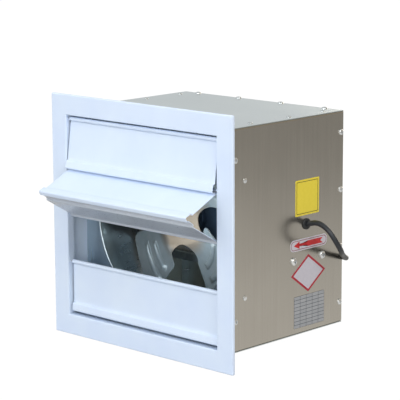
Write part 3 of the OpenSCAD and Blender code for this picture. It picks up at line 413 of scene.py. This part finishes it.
def blade_depth(r, a, s):
    """Depth of a blade's front face at radius r, angle a and share s of the way across the blade.

    It is the tilt times the height over the middle line, plus a parabola of camber, less the ribs,
    whose sections are half circles, and less the fold along the leading edge.
    """
    twist = smooth((r - HUB_R) / (50 - HUB_R))
    raised = np.zeros_like(a)
    for at, low, high in RIBS:
        across = np.sqrt(np.clip(1 - ((r - at) / RIB_HALF_W) ** 2, 0, 1))
        raised = np.maximum(raised, RIB_H * across * smooth(np.minimum(a - low, high - a) / RIB_FADE))
    fold = smooth((s - 0.93) / 0.05) * smooth((r - 56) / 8) * smooth((98 - r) / 6)
    raised = np.maximum(raised, FOLD_H * fold)
    tilted = TILT * twist * r * np.sin(np.radians(a))
    return HUB_Y - tilted + 4 * CAMBER * twist * s * (1 - s) - raised


def blade(k):
    """One blade: front face from trailing to leading edge and rear face back, from the hub to the tip.

    Near the hub both faces are drawn in by the seam, so that they lie inside the disc.
    """
    corner = TIP_R - TIP_CORNER * (1 - np.sin(np.radians(np.linspace(8, 90, 14))))
    r = np.r_[HUB_R - SHEET, HUB_R + RELIEF_R * np.linspace(0.05, 1, 26) ** 2, np.linspace(46.6, 59, 22),
              np.linspace(60, 94, 103), corner, TIP_R]
    s = np.r_[0, 0.004, np.linspace(0.02, 0.98, 47), 0.996, 1]
    front = np.r_[0.5, np.ones(len(s) - 2), 0.5, np.zeros(len(s) - 2)]
    s = np.r_[s, s[-2:0:-1]]
    low, high = trailing_angle(r), leading_angle(r)
    a = low[:, None] + (high - low)[:, None] * s
    rr = np.repeat(r[:, None], len(s), 1)
    face = np.repeat(front[None], len(r), 0)
    face[[0, -1]] = 0.5
    inset = SEAM * (1 - smooth((rr - HUB_R) / RELIEF_R))
    y = blade_depth(rr, a, s[None]) + face * inset + (1 - face) * (SHEET - inset)
    turn = np.radians(a + BLADE_TURN + 2 * BLADE_HALF * k)
    return surface("blade", np.stack([rr * np.cos(turn), y, rr * np.sin(turn)], -1), around=True, sharp=50)


def turned(name, profile, steps=144):
    """Surface of revolution: a closed profile of radius and depth, turned about the fan's axis."""
    r, y = np.asarray(profile, float).T
    a = np.linspace(0, 2 * np.pi, steps, endpoint=False)[:, None]
    points = np.stack([r * np.cos(a), np.repeat(y[None], steps, 0), r * np.sin(a)], -1)
    return surface(name, points, around=True, along=True)


hub_rear = HUB_Y + SHEET
disc = turned("disc", [(HUB_HOLE_R, HUB_Y), (HUB_R - HUB_EDGE, HUB_Y), (HUB_R, HUB_Y + HUB_EDGE),
                       (HUB_R, hub_rear - HUB_EDGE), (HUB_R - HUB_EDGE, hub_rear), (HUB_HOLE_R, hub_rear)])
impeller = joined([disc, *(blade(k) for k in range(4))], "impeller_sheet")
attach(impeller, "fan_rotor")
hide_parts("impeller")

# Fan ring

RING_HALF = np.array([130.2, 129.2])
RING_T = 1.0
THROAT_R = 106.5
MOUTH_R = 1.4
MOUTH_END_R = 109.5
RING_Y = 34.0
FLANGE_Y = 46.0
TUBE_DEPTHS = (42, 50, 60, 72, 85.8)
TUBE_END_Y = 86.0
MIX_SHARES = np.array([0.0, 0.25, 0.5, 0.75])


def ring_plate():
    """Fan ring: tube, rounded mouth, flat plate and folded edge, as one profile carried round the axis.

    Every row is a mix between a circle about the axis and the square of the housing, by a share
    that is 0 up to the mouth and grows to 1 at the plate's outer edge.
    """
    steps = 256
    a = np.linspace(0, 2 * np.pi, steps, endpoint=False)
    circle = np.stack([np.cos(a), np.sin(a)], -1)
    square = circle / np.max(np.abs(circle), 1)[:, None] * RING_HALF
    inner = square * (1 - RING_T / RING_HALF)
    centre = np.array([THROAT_R + MOUTH_R, RING_Y + MOUTH_R])
    outer_r = THROAT_R + RING_T
    turn = np.linspace(0.05, math.pi / 2, 12)[:, None]
    front = centre - MOUTH_R * np.hstack([np.sin(turn), np.cos(turn)])
    turn = np.linspace(math.pi / 2, 0.05, 8)[:, None]
    rear = centre - (MOUTH_R - RING_T) * np.hstack([np.sin(turn), np.cos(turn)])
    rim = [(THROAT_R + 0.3, TUBE_END_Y), (outer_r - 0.2, TUBE_END_Y), (outer_r, TUBE_END_Y - 0.4)]
    rows = [(square, FLANGE_Y), (square, RING_Y + 0.6)]
    rows += [(square * 0.9992, RING_Y + 0.15), (square * 0.997, RING_Y)]
    rows += [(s * square + (1 - s) * MOUTH_END_R * circle, RING_Y) for s in MIX_SHARES[::-1]]
    rows += [(r * circle, y) for r, y in front]
    rows += [(THROAT_R * circle, y) for y in TUBE_DEPTHS]
    rows += [(r * circle, y) for r, y in [*rim, (outer_r, 60.0), *rear]]
    rows += [(s * inner + (1 - s) * MOUTH_END_R * circle, RING_Y + RING_T) for s in [*MIX_SHARES, 1.0]]
    rows += [(inner, FLANGE_Y)]
    points = np.array([np.stack([xz[:, 0], np.full(steps, y), xz[:, 1]], -1) for xz, y in rows])
    piece = surface("ring_sheet", points, around=True, along=True, sharp=50)
    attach(piece, "housing")
    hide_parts("fan_ring")
    return piece


ring = ring_plate()

# Materials


def linear(hex_colour):
    """Scene-linear colour of an sRGB hex value."""
    c = np.array([int(hex_colour[i:i + 2], 16) for i in (1, 3, 5)]) / 255
    c = np.where(c <= 0.04045, c / 12.92, ((c + 0.055) / 1.055) ** 2.4)
    return (*c.tolist(), 1.0)


def put(tree, kind, inputs=None, **settings):
    """Adds one node: settings are its properties, and inputs maps sockets to values or to outputs."""
    new = tree.nodes.new(kind)
    for key, value in settings.items():
        setattr(new, key, value)
    for key, value in (inputs or {}).items():
        if isinstance(value, bpy.types.NodeSocket):
            tree.links.new(value, new.inputs[key])
        else:
            new.inputs[key].default_value = value
    return new


def start_material(name):
    """New node material with an empty tree, and its Object coordinates."""
    made = bpy.data.materials.new(name)
    made.use_nodes = True
    made.node_tree.nodes.clear()
    return made, made.node_tree, put(made.node_tree, "ShaderNodeTexCoord").outputs["Object"]


def end_material(tree, shader):
    """Sends a shader to the material's output."""
    put(tree, "ShaderNodeOutputMaterial", {"Surface": shader.outputs[0]})


def ramp(tree, fac, stops):
    """Colour ramp over fac, from (place, hex) stops."""
    node = put(tree, "ShaderNodeValToRGB", {"Fac": fac})
    elements = node.color_ramp.elements
    while len(elements) < len(stops):
        elements.new(0.5)
    for element, (place, colour) in zip(elements, stops):
        element.position = place
        element.color = linear(colour)
    return node.outputs["Color"]


def powder_coat(name, dark, light, low, high):
    """Polyester powder coat, baked on steel: smooth, with a faint orange peel and a soft gloss."""
    made, tree, at = start_material(name)
    # clouds of slightly different film thickness, about 60 mm across
    clouds = put(tree, "ShaderNodeTexNoise", {"Vector": at, "Scale": 16.0, "Detail": 3.0})
    colour = ramp(tree, clouds.outputs["Fac"], [(0.3, dark), (0.7, light)])
    # orange peel: real cells are about 1 mm, drawn at 2 mm so that it shows
    peel = put(tree, "ShaderNodeTexNoise", {"Vector": at, "Scale": 480.0, "Detail": 2.0})
    bump = put(tree, "ShaderNodeBump", {"Height": peel.outputs["Fac"], "Strength": 0.12, "Distance": 0.0002})
    rough = put(tree, "ShaderNodeMapRange", {"Value": peel.outputs["Fac"], "To Min": low, "To Max": high})
    shader = put(tree, "ShaderNodeBsdfPrincipled", {
        "Base Color": colour, "Roughness": rough.outputs[0], "IOR": 1.5, "Normal": bump.outputs[0],
        "Coat Weight": 0.15, "Coat Roughness": 0.3})
    end_material(tree, shader)
    return made


def mill_stainless(name, dark, light, stretch, smooth_rough, dull_rough, deep=None):
    """Cold rolled stainless sheet: satin grey with fine rolling streaks and slightly wavy reflections.

    deep is the colour of painted shade on the inside of a tube.
    """
    made, tree, at = start_material(name)
    # rolling streaks: real ones are under 0.2 mm across, drawn at about 2 mm so that they show
    rolled = put(tree, "ShaderNodeMapping", {"Vector": at, "Scale": stretch})
    streak = put(tree, "ShaderNodeTexNoise", {
        "Vector": rolled.outputs[0], "Scale": 1.0, "Detail": 4.0, "Roughness": 0.6})
    # hand marks and oil film, about 80 mm across
    film = put(tree, "ShaderNodeTexNoise", {"Vector": at, "Scale": 12.0, "Detail": 3.0})
    both = put(tree, "ShaderNodeMath", {0: streak.outputs["Fac"], 1: film.outputs["Fac"]}, operation="ADD")
    half = put(tree, "ShaderNodeMath", {0: both.outputs[0], 1: 0.5}, operation="MULTIPLY")
    colour = ramp(tree, half.outputs[0], [(0.3, dark), (0.7, light)])
    if deep:
        # painted shade inside the tube: it starts 36 mm behind the wall and is full at 50 mm
        depth = put(tree, "ShaderNodeSeparateXYZ", {"Vector": at})
        inside = put(tree, "ShaderNodeMapRange", {
            "Value": depth.outputs["Y"], "From Min": 0.036, "From Max": 0.05})
        dust_and_painted_shade_mix = put(tree, "ShaderNodeMix", {
            0: inside.outputs[0], 6: colour, 7: linear(deep)}, data_type="RGBA")
        colour = dust_and_painted_shade_mix.outputs[2]
    rough = put(tree, "ShaderNodeMapRange", {
        "Value": half.outputs[0], "From Min": 0.3, "From Max": 0.7,
        "To Min": smooth_rough, "To Max": dull_rough})
    # the sheet is not quite flat: waves about 120 mm long
    wave = put(tree, "ShaderNodeTexNoise", {"Vector": at, "Scale": 8.0, "Detail": 1.0})
    slow = put(tree, "ShaderNodeBump", {"Height": wave.outputs["Fac"], "Strength": 0.15, "Distance": 0.004})
    bump = put(tree, "ShaderNodeBump", {
        "Height": streak.outputs["Fac"], "Normal": slow.outputs[0], "Strength": 0.025, "Distance": 0.0003})
    shader = put(tree, "ShaderNodeBsdfPrincipled", {
        "Base Color": colour, "Metallic": 1.0, "Roughness": rough.outputs[0], "Normal": bump.outputs[0]})
    end_material(tree, shader)
    return made


def bright_metal(name, dark, light, low, high, metal=1.0, dust=None):
    """Zinc or nickel plating, or ground steel: pale metal, a little cloudy, with a fine grain.

    dust is the colour of the dust on faces that look up.
    """
    made, tree, at = start_material(name)
    # clouds in the skin, about 6 mm across
    clouds = put(tree, "ShaderNodeTexNoise", {"Vector": at, "Scale": 160.0, "Detail": 4.0})
    colour = ramp(tree, clouds.outputs["Fac"], [(0.35, dark), (0.65, light)])
    rough = put(tree, "ShaderNodeMapRange", {"Value": clouds.outputs["Fac"], "To Min": low, "To Max": high})
    if dust:
        facing = put(tree, "ShaderNodeNewGeometry")
        up = put(tree, "ShaderNodeSeparateXYZ", {"Vector": facing.outputs["Normal"]})
        lies = put(tree, "ShaderNodeMapRange", {
            "Value": up.outputs["Z"], "From Min": 0.55, "From Max": 0.85})
        dust_and_painted_shade_mix = put(tree, "ShaderNodeMix", {
            0: lies.outputs[0], 6: colour, 7: linear(dust)}, data_type="RGBA")
        colour = dust_and_painted_shade_mix.outputs[2]
        rough = put(tree, "ShaderNodeMapRange", {"Value": lies.outputs[0], "To Min": low, "To Max": 0.6})
    # grain of the skin, under 1 mm
    grain = put(tree, "ShaderNodeTexNoise", {"Vector": at, "Scale": 1500.0, "Detail": 1.0})
    bump = put(tree, "ShaderNodeBump", {"Height": grain.outputs["Fac"], "Strength": 0.1, "Distance": 0.0001})
    shader = put(tree, "ShaderNodeBsdfPrincipled", {
        "Base Color": colour, "Metallic": metal, "Roughness": rough.outputs[0], "Normal": bump.outputs[0]})
    end_material(tree, shader)
    return made


def pressed_sheet():
    """Galvanised sheet, pressed into the impeller: blue-grey metal with soft zinc clouds and a satin skin.

    Its flat centre, out to about 45 mm from the axis, is painted tan as a warm reflection.
    """
    made, tree, at = start_material("pressed_galvanised_sheet")
    # zinc clouds are 8 to 12 mm across
    clouds = put(tree, "ShaderNodeTexNoise", {"Vector": at, "Scale": 90.0, "Detail": 2.0})
    blade_colour = ramp(tree, clouds.outputs["Fac"], [(0.3, "#bccdd4"), (0.7, "#c9d7dc")])
    place = put(tree, "ShaderNodeSeparateXYZ", {"Vector": at})
    flat = put(tree, "ShaderNodeCombineXYZ", {"X": place.outputs["X"], "Z": place.outputs["Z"]})
    radius = put(tree, "ShaderNodeVectorMath", {0: flat.outputs[0]}, operation="LENGTH")
    # painted reflection: a warm tan over the flat centre, strongest inside 36 mm and gone at 50 mm
    centre = put(tree, "ShaderNodeMapRange", {
        "Value": radius.outputs["Value"], "From Min": 0.036, "From Max": 0.05, "To Min": 0.8, "To Max": 0.0})
    colour = put(tree, "ShaderNodeMix", {
        0: centre.outputs[0], 6: blade_colour, 7: linear("#bda98f")}, data_type="RGBA")
    rough = put(tree, "ShaderNodeMapRange", {"Value": clouds.outputs["Fac"], "To Min": 0.17, "To Max": 0.24})
    bump = put(tree, "ShaderNodeBump", {
        "Height": clouds.outputs["Fac"], "Strength": 0.02, "Distance": 0.0002})
    shader = put(tree, "ShaderNodeBsdfPrincipled", {
        "Base Color": colour.outputs[2], "Metallic": 0.6, "Roughness": rough.outputs[0],
        "Normal": bump.outputs[0]})
    end_material(tree, shader)
    return made


def black_enamel():
    """Stoved enamel on cast aluminium: dark navy with a soft gloss over a fine sand-cast skin."""
    made, tree, at = start_material("black_enamel_casting")
    # sand grains of the casting, about 1.5 mm, and clouds of the enamel, about 25 mm
    sand = put(tree, "ShaderNodeTexNoise", {"Vector": at, "Scale": 700.0, "Detail": 3.0})
    clouds = put(tree, "ShaderNodeTexNoise", {"Vector": at, "Scale": 40.0, "Detail": 2.0})
    colour = ramp(tree, clouds.outputs["Fac"], [(0.3, "#43556a"), (0.7, "#4e6276")])
    bump = put(tree, "ShaderNodeBump", {"Height": sand.outputs["Fac"], "Strength": 0.3, "Distance": 0.0003})
    rough = put(tree, "ShaderNodeMapRange", {"Value": clouds.outputs["Fac"], "To Min": 0.3, "To Max": 0.48})
    shader = put(tree, "ShaderNodeBsdfPrincipled", {
        "Base Color": colour, "Roughness": rough.outputs[0], "IOR": 1.5, "Normal": bump.outputs[0]})
    end_material(tree, shader)
    return made


def laminated_steel():
    """Stack of electrical steel sheets: fine dark lines square to the axis."""
    made, tree, at = start_material("laminated_core_steel")
    # real sheets are 0.5 mm thick, drawn at 2 mm so that they show
    lines = put(tree, "ShaderNodeTexWave", {"Vector": at, "Scale": 160.0, "Distortion": 0.4},
                bands_direction="Y")
    colour = ramp(tree, lines.outputs["Fac"], [(0.2, "#4d4f52"), (0.8, "#85888c")])
    bump = put(tree, "ShaderNodeBump", {"Height": lines.outputs["Fac"], "Strength": 0.4, "Distance": 0.0002})
    shader = put(tree, "ShaderNodeBsdfPrincipled", {
        "Base Color": colour, "Metallic": 1.0, "Roughness": 0.45, "Normal": bump.outputs[0]})
    end_material(tree, shader)
    return made


def magnet_wire():
    """Enamelled copper wire, wound and varnished: amber-brown strands round the axis."""
    made, tree, at = start_material("varnished_copper_winding")
    # real wire is 0.5 mm thick, drawn at 2 mm so that it shows
    strands = put(tree, "ShaderNodeTexWave", {
        "Vector": at, "Scale": 150.0, "Distortion": 2.5, "Detail": 2.0},
        wave_type="RINGS", rings_direction="Y")
    colour = ramp(tree, strands.outputs["Fac"], [(0.15, "#5e2a12"), (0.7, "#b8682c")])
    bump = put(tree, "ShaderNodeBump", {
        "Height": strands.outputs["Fac"], "Strength": 0.7, "Distance": 0.0006})
    shader = put(tree, "ShaderNodeBsdfPrincipled", {
        "Base Color": colour, "Metallic": 0.7, "Roughness": 0.32, "Normal": bump.outputs[0]})
    end_material(tree, shader)
    return made


def moulded(name, dark, light, grain, low, high, depth):
    """Moulded plastic or rubber: one colour with slight clouding and the fine grain of its mould."""
    made, tree, at = start_material(name)
    # clouds about 16 mm across, and a grain of 1 to 1.5 mm, coarser than the real one so that it shows
    clouds = put(tree, "ShaderNodeTexNoise", {"Vector": at, "Scale": 60.0, "Detail": 2.0})
    skin = put(tree, "ShaderNodeTexNoise", {"Vector": at, "Scale": grain, "Detail": 2.0})
    colour = ramp(tree, clouds.outputs["Fac"], [(0.3, dark), (0.7, light)])
    rough = put(tree, "ShaderNodeMapRange", {"Value": clouds.outputs["Fac"], "To Min": low, "To Max": high})
    bump = put(tree, "ShaderNodeBump", {"Height": skin.outputs["Fac"], "Strength": 0.25, "Distance": depth})
    shader = put(tree, "ShaderNodeBsdfPrincipled", {
        "Base Color": colour, "Roughness": rough.outputs[0], "IOR": 1.5, "Normal": bump.outputs[0]})
    end_material(tree, shader)
    return made


def printed_vinyl(name, light, dark):
    """Printed vinyl film: even colour with faint handling marks about 5 mm across under a satin skin."""
    made, tree, at = start_material(name)
    marks = put(tree, "ShaderNodeTexNoise", {"Vector": at, "Scale": 220.0, "Detail": 4.0})
    colour = ramp(tree, marks.outputs["Fac"], [(0.35, dark), (0.6, light)])
    rough = put(tree, "ShaderNodeMapRange", {"Value": marks.outputs["Fac"], "To Min": 0.32, "To Max": 0.46})
    shader = put(tree, "ShaderNodeBsdfPrincipled", {
        "Base Color": colour, "Roughness": rough.outputs[0], "IOR": 1.5})
    end_material(tree, shader)
    return made


def ruled_foil(corner, cell):
    """Silver foil, left bare: grey lines 0.6 mm wide rule it into cells, from its lower front corner."""
    made, tree, at = start_material("ruled_silver_foil")
    place = put(tree, "ShaderNodeSeparateXYZ", {"Vector": at})
    flat = put(tree, "ShaderNodeCombineXYZ", {"X": place.outputs["Y"], "Y": place.outputs["Z"]})
    moved = put(tree, "ShaderNodeMapping", {
        "Vector": flat.outputs[0], "Location": (-MM * corner[0], -MM * corner[1], 0.0)})
    rules = put(tree, "ShaderNodeTexBrick", {
        "Vector": moved.outputs[0], "Scale": 1.0, "Mortar Size": 0.0003, "Mortar Smooth": 0.2, "Bias": 0.0,
        "Brick Width": MM * cell[0], "Row Height": MM * cell[1], "Color1": linear("#a9adb3"),
        "Color2": linear("#b3b6bb"), "Mortar": linear("#3d424c")}, offset=0.0)
    shader = put(tree, "ShaderNodeBsdfPrincipled", {
        "Base Color": rules.outputs["Color"], "Roughness": 0.4, "Metallic": 0.3, "IOR": 1.5})
    end_material(tree, shader)
    return made


coat = powder_coat("powder_coat_cool_white", "#dae8fe", "#e1eeff", 0.34, 0.46)
# the louvres' reverse is a greyer, glossier copy of the coat: painted shade on their undersides
reverse = powder_coat("coat_with_painted_shade", "#bfc7d3", "#c8cfd9", 0.24, 0.34)
# the streaks run up the side panels and the ring, and along the depth of the top and bottom
side_steel = mill_stainless("satin_stainless_side", "#b8b3aa", "#c3bfb6", (60.0, 420.0, 6.0), 0.2, 0.27)
top_steel = mill_stainless("satin_stainless_top", "#c0c7c7", "#ccd2d2", (420.0, 6.0, 60.0), 0.3, 0.4)
# the ring's last colour is painted shade deep inside its tube
ring_steel = mill_stainless("satin_stainless_ring", "#c0cfd6", "#c8d6db", (420.0, 60.0, 12.0), 0.24, 0.34,
                            "#919da4")
zinc = bright_metal("bright_zinc_plate", "#dde0e2", "#eef0f0", 0.18, 0.3, 0.72, "#a9aeae")
dull_zinc = bright_metal("passivated_zinc_plate", "#8b949a", "#a0a8ad", 0.34, 0.5)
polished = bright_metal("ground_bearing_steel", "#b4b6b8", "#cfd1d3", 0.14, 0.24)
pressed = pressed_sheet()
enamel = black_enamel()
core = laminated_steel()
winding = magnet_wire()
pvc = moulded("pvc_lead_sheath", "#222529", "#2c3035", 900.0, 0.36, 0.46, 0.0001)
rubber = moulded("moulded_rubber_grommet", "#242628", "#2e3032", 800.0, 0.5, 0.62, 0.0002)
nylon = moulded("moulded_nylon_tie", "#dedbd2", "#ebe8df", 700.0, 0.4, 0.5, 0.0001)
plastic = moulded("moulded_black_plastic", "#1c1e21", "#272a2e", 1100.0, 0.36, 0.5, 0.0002)
brass = bright_metal("nickel_plated_brass_pins", "#c9b98a", "#ddd0a6", 0.18, 0.28)

FINISHES = {
    "front_frame": coat, "frame_collar": coat, "louvre_wires": zinc,
    "housing_left": side_steel, "housing_right": side_steel, "housing_top": top_steel,
    "housing_bottom": top_steel, "housing_rivets": zinc, "collar_screws": zinc, "ring_rivets": zinc,
    "impeller_hub": dull_zinc, "hub_rivets": zinc, "hub_set_screw": enamel, "motor_shaft": polished,
    "rotor_core": core, "stator_core": core, "stator_windings": winding, "motor_shell": enamel,
    "motor_front_cover": enamel, "motor_rear_cover": enamel, "front_bearing": polished,
    "rear_bearing": polished, "motor_bolts": zinc, "motor_foot": dull_zinc, "foot_screws": zinc,
    "motor_bracket": dull_zinc, "bracket_screws": zinc, "bracket_nuts": zinc, "capacitor": plastic,
    "capacitor_screw": zinc, "rear_plate": top_steel, "rear_plate_screws": zinc, "rear_guard": zinc,
    "guard_clips": zinc, "guard_clip_screws": zinc, "cable_grommet": rubber, "inner_lead": pvc,
    "coil_tie": nylon, "plug_pins": brass,
}
for name, finish in FINISHES.items():
    node = frame["nodes"][name]
    node.data.materials.clear()
    node.data.materials.append(finish)
for piece, finish in [(lead, pvc), (plug, plastic), (impeller, pressed), (ring, ring_steel)]:
    piece.data.materials.append(finish)
# the second material of each louvre is the coat with painted shade, for its reverse side
for piece in louvres:
    piece.data.materials.append(coat)
    piece.data.materials.append(reverse)

# Labels on the right panel

PANEL_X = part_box("housing_right")[1][0] / MM
# each rectangle gives its front, rear, lower and upper side
YELLOW_SIDES = (127.0, 170.5, 13.0, 56.3)
ARROW_SIDES = (118.0, 186.2, -29.0, -15.0)
PLATE_SIDES = (125.6, 181.5, -123.6, -84.6)
# the data plate's ruling: depth and height of a cell, five to a row and nine rows
PLATE_CELL = (11.18, 4.33)
ARROW_Z = -22.0
# upper half of the arrow: depth and half height, from its tip to its tail, and the notch of the tail
ARROW_HALF = [(124.5, 0), (135.0, 4.6), (135.0, 1.6), (150.0, 2.0), (150.0, 3.4), (178.0, 3.4)]
ARROW_NOTCH = 173.5
DIAMOND_AT = (151.4, -58.5)
# half depth, half height and rounding of the diamond and of its border's inner edge
DIAMOND_OUT = (31.8, 23.1, 1.2)
DIAMOND_IN = (27.4, 19.8, 0.8)


def rounded_rectangle(sides, inset, r, steps=10):
    """Outline of a rectangle with rounded corners, in depth and height, drawn in on all sides by inset."""
    y0, y1, z0, z1 = sides
    low_y, high_y = y0 + inset + r, y1 - inset - r
    low_z, high_z = z0 + inset + r, z1 - inset - r
    corners = [((high_y, high_z), 0), ((low_y, high_z), 90), ((low_y, low_z), 180), ((high_y, low_z), 270)]
    return np.vstack([arc(centre, r, start, start + 90, steps) for centre, start in corners])


def arrow_outline(steps=8):
    """Plain arrow pointing to the front: barbed head, thin neck, broad tail, and steps points to a side."""
    upper = [(y, ARROW_Z + h) for y, h in ARROW_HALF]
    lower = [(y, ARROW_Z - h) for y, h in ARROW_HALF[:0:-1]]
    corners = np.array(upper + [(ARROW_NOTCH, ARROW_Z)] + lower)
    ends = np.roll(corners, -1, 0)
    s = np.arange(steps)[:, None] / steps
    return np.vstack([a + s * (b - a) for a, b in zip(corners, ends)])


def diamond(half_y, half_z, r, steps=8):
    """Outline of a diamond: each corner is rounded by a parabola between the points r away on its sides."""
    corners = np.array([(half_y, 0), (0, half_z), (-half_y, 0), (0, -half_z)])
    s = np.linspace(0, 1, steps)[:, None]
    points = []
    for c, a, b in zip(corners, np.roll(corners, 1, 0), np.roll(corners, -1, 0)):
        u = c + (a - c) * r / np.linalg.norm(a - c)
        v = c + (b - c) * r / np.linalg.norm(b - c)
        points.append((1 - s) ** 2 * u + 2 * s * (1 - s) * c + s * s * v)
    return np.vstack(points) + DIAMOND_AT


def plaque(name, outline, centre, lift, thick, finish):
    """Thin plate on the right panel: rows of its outline, shrunk by shares of 0 to 1 about a centre.

    The rows up to the outline lie flat, and the last ones round the edge off down to the panel.
    """
    share = np.r_[0, np.linspace(0.2, 0.985, 6), 1, 1, 0]
    rise = np.r_[np.full(7, 1.0), 0.7, 0, 0]
    flat = centre + share[:, None, None] * (outline - centre)
    x = np.repeat((PANEL_X + lift + thick * rise)[:, None], len(outline), 1)
    piece = surface(name, np.concatenate([x[..., None], flat], -1), around=True)
    piece.data.materials.append(finish)
    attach(piece, "housing")


def band(name, outer, inner, lift, thick, finish):
    """Thin printed line on the right panel: the strip between two outlines of equal point counts."""
    rows = [(outer, 0), (outer, 1), ((outer + inner) / 2, 1), (inner, 1), (inner, 0)]
    points = [np.column_stack([np.full(len(line), PANEL_X + lift + thick * h), line]) for line, h in rows]
    piece = surface(name, points, around=True, along=True)
    piece.data.materials.append(finish)
    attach(piece, "housing")


yellow = printed_vinyl("yellow_vinyl", "#f0dc46", "#edd941")
ink = printed_vinyl("dark_print_ink", "#4a3c10", "#3a2f0c")
red = printed_vinyl("red_print_ink", "#cf2a30", "#bd2228")
dark_red = printed_vinyl("dark_red_print_ink", "#8e2a38", "#7c2230")
diamond_red = printed_vinyl("diamond_print_ink", "#b8283a", "#a82232")
white_vinyl = printed_vinyl("white_vinyl", "#cfccd6", "#cac7d2")
foil = ruled_foil((PLATE_SIDES[0], PLATE_SIDES[2]), PLATE_CELL)

# the last two lengths of each label are its lift above the panel and its thickness
plaque("yellow_label", rounded_rectangle(YELLOW_SIDES, 0, 1.2), (148.7, 34.6), 0, 0.12, yellow)
band("yellow_label_line", rounded_rectangle(YELLOW_SIDES, 2.2, 0.6),
     rounded_rectangle(YELLOW_SIDES, 2.9, 0.3), 0.1, 0.06, ink)
plaque("arrow_sticker", rounded_rectangle(ARROW_SIDES, 0, 6.6), (152.0, ARROW_Z), 0, 0.08, white_vinyl)
plaque("arrow_print", arrow_outline(), (131.0, ARROW_Z), 0.06, 0.08, red)
band("arrow_frame", rounded_rectangle(ARROW_SIDES, 1.4, 5.3),
     rounded_rectangle(ARROW_SIDES, 2.1, 4.6), 0.06, 0.06, dark_red)
plaque("diamond_label", diamond(*DIAMOND_OUT), DIAMOND_AT, 0, 0.12, white_vinyl)
band("diamond_border", diamond(*DIAMOND_OUT), diamond(*DIAMOND_IN), 0.06, 0.1, diamond_red)
plaque("data_plate", rounded_rectangle(PLATE_SIDES, 0, 1.0), (153.5, -104.1), 0, 0.15, foil)

# Studio

FLOOR_Z = cad_box[0][2] - 0.0002
FLOOR_HALF = 6.0
# place, target and size in metres, power in watts, colour, and whether it shows in reflections
LAMPS = {
    "key_lamp": ((-1.3, -2.2, 1.9), (0, 0, 0), 1.4, 13, (1, 1, 1), True),
    "front_lamp": ((0.9, -2.6, 0.6), (0, 0.05, -0.03), 1.0, 18, (1, 1, 1), True),
    "rear_lamp": ((-0.3, 1.5, 0.35), (0, 0.2, 0), 0.9, 8, (1.0, 0.88, 0.72), True),
    # two weak lamps in the duct stand for light that a real room sends back into it
    "throat_fill": ((0.035, 0.037, 0.0), (0.04, 0.2, -0.01), 0.07, 0.035, (0.86, 0.94, 1.0), False),
    "outlet_fill": ((0.02, 0.1, -0.085), (0.02, 0.2, -0.1), 0.07, 0.012, (0.72, 0.9, 1.0), True),
    "side_lamp": ((2.3, -0.7, 1.7), (0.13, 0.14, 0), 0.7, 22, (1, 1, 1), True),
}


def add_floor():
    """Pale floor under the fan. The camera sees it nearly white, with the fan's soft shadow kept."""
    mesh = bpy.data.meshes.new("floor")
    corners = [(-1, -1), (1, -1), (1, 1), (-1, 1)]
    mesh.from_pydata([(FLOOR_HALF * x, FLOOR_HALF * y, FLOOR_Z) for x, y in corners], [], [(0, 1, 2, 3)])
    floor = bpy.data.objects.new("floor", mesh)
    scene.collection.objects.link(floor)
    made, tree, at = start_material("pale_floor")
    lit = put(tree, "ShaderNodeBsdfDiffuse", {"Color": linear("#b0b0b0")})
    white = put(tree, "ShaderNodeEmission", {"Color": (1, 1, 1, 1), "Strength": 1.1})
    seen = put(tree, "ShaderNodeLightPath")
    share = put(tree, "ShaderNodeMath", {0: seen.outputs["Is Camera Ray"], 1: 0.9}, operation="MULTIPLY")
    mixed = put(tree, "ShaderNodeMixShader", {0: share.outputs[0], 1: lit.outputs[0], 2: white.outputs[0]})
    # painted light: to reflections the floor glows, pale beside the fan's front and falling off with
    # distance
    away = put(tree, "ShaderNodeVectorMath", {0: at, 1: (0.2, -0.15, -0.15)}, operation="DISTANCE")
    fall = put(tree, "ShaderNodeMapRange", {
        "Value": away.outputs["Value"], "From Min": 0.1, "From Max": 1.9, "To Min": 0.74, "To Max": 0.36},
        interpolation_type="SMOOTHSTEP")
    glow = put(tree, "ShaderNodeEmission", {"Color": (1.0, 0.98, 0.94, 1), "Strength": fall.outputs[0]})
    whole = put(tree, "ShaderNodeMixShader", {
        0: seen.outputs["Is Glossy Ray"], 1: mixed.outputs[0], 2: glow.outputs[0]})
    end_material(tree, whole)
    mesh.materials.append(made)


def add_world():
    """Pale surround, white to the camera. Light and reflections see it dimmer towards the right rear."""
    world = bpy.data.worlds.new("studio")
    scene.world = world
    world.use_nodes = True
    tree = world.node_tree
    tree.nodes.clear()
    at = put(tree, "ShaderNodeTexCoord").outputs["Generated"]
    aside = put(tree, "ShaderNodeVectorMath", {0: at, 1: (0.76, 0.6, -0.25)}, operation="DOT_PRODUCT")
    fac = put(tree, "ShaderNodeMapRange", {
        "Value": aside.outputs["Value"], "From Min": 0.1, "From Max": 0.95},
        interpolation_type="SMOOTHSTEP").outputs[0]
    dim = put(tree, "ShaderNodeMapRange", {"Value": fac, "To Min": 0.8, "To Max": 0.4})
    tint = ramp(tree, fac, [(0.0, "#fafdff"), (0.8, "#fdebd0")])
    around = put(tree, "ShaderNodeBackground", {"Color": tint, "Strength": dim.outputs[0]})
    white = put(tree, "ShaderNodeBackground", {"Color": (1, 1, 1, 1), "Strength": 1.05})
    seen = put(tree, "ShaderNodeLightPath")
    mixed = put(tree, "ShaderNodeMixShader", {
        0: seen.outputs["Is Camera Ray"], 1: around.outputs[0], 2: white.outputs[0]})
    put(tree, "ShaderNodeOutputWorld", {"Surface": mixed.outputs[0]})


def add_lamp(name, place, target, size, power, colour, shows):
    """Soft square lamp at a place in metres, turned towards a target."""
    data = bpy.data.lights.new(name, "AREA")
    data.shape = "SQUARE"
    data.size = size
    data.energy = power
    data.color = colour
    lamp = bpy.data.objects.new(name, data)
    lamp.location = place
    lamp.rotation_euler = (Vector(target) - Vector(place)).to_track_quat("-Z", "Y").to_euler()
    lamp.visible_camera = False
    lamp.visible_glossy = shows
    scene.collection.objects.link(lamp)


add_floor()
add_world()
for name, lamp in LAMPS.items():
    add_lamp(name, *lamp)
scene.view_settings.view_transform = "Standard"
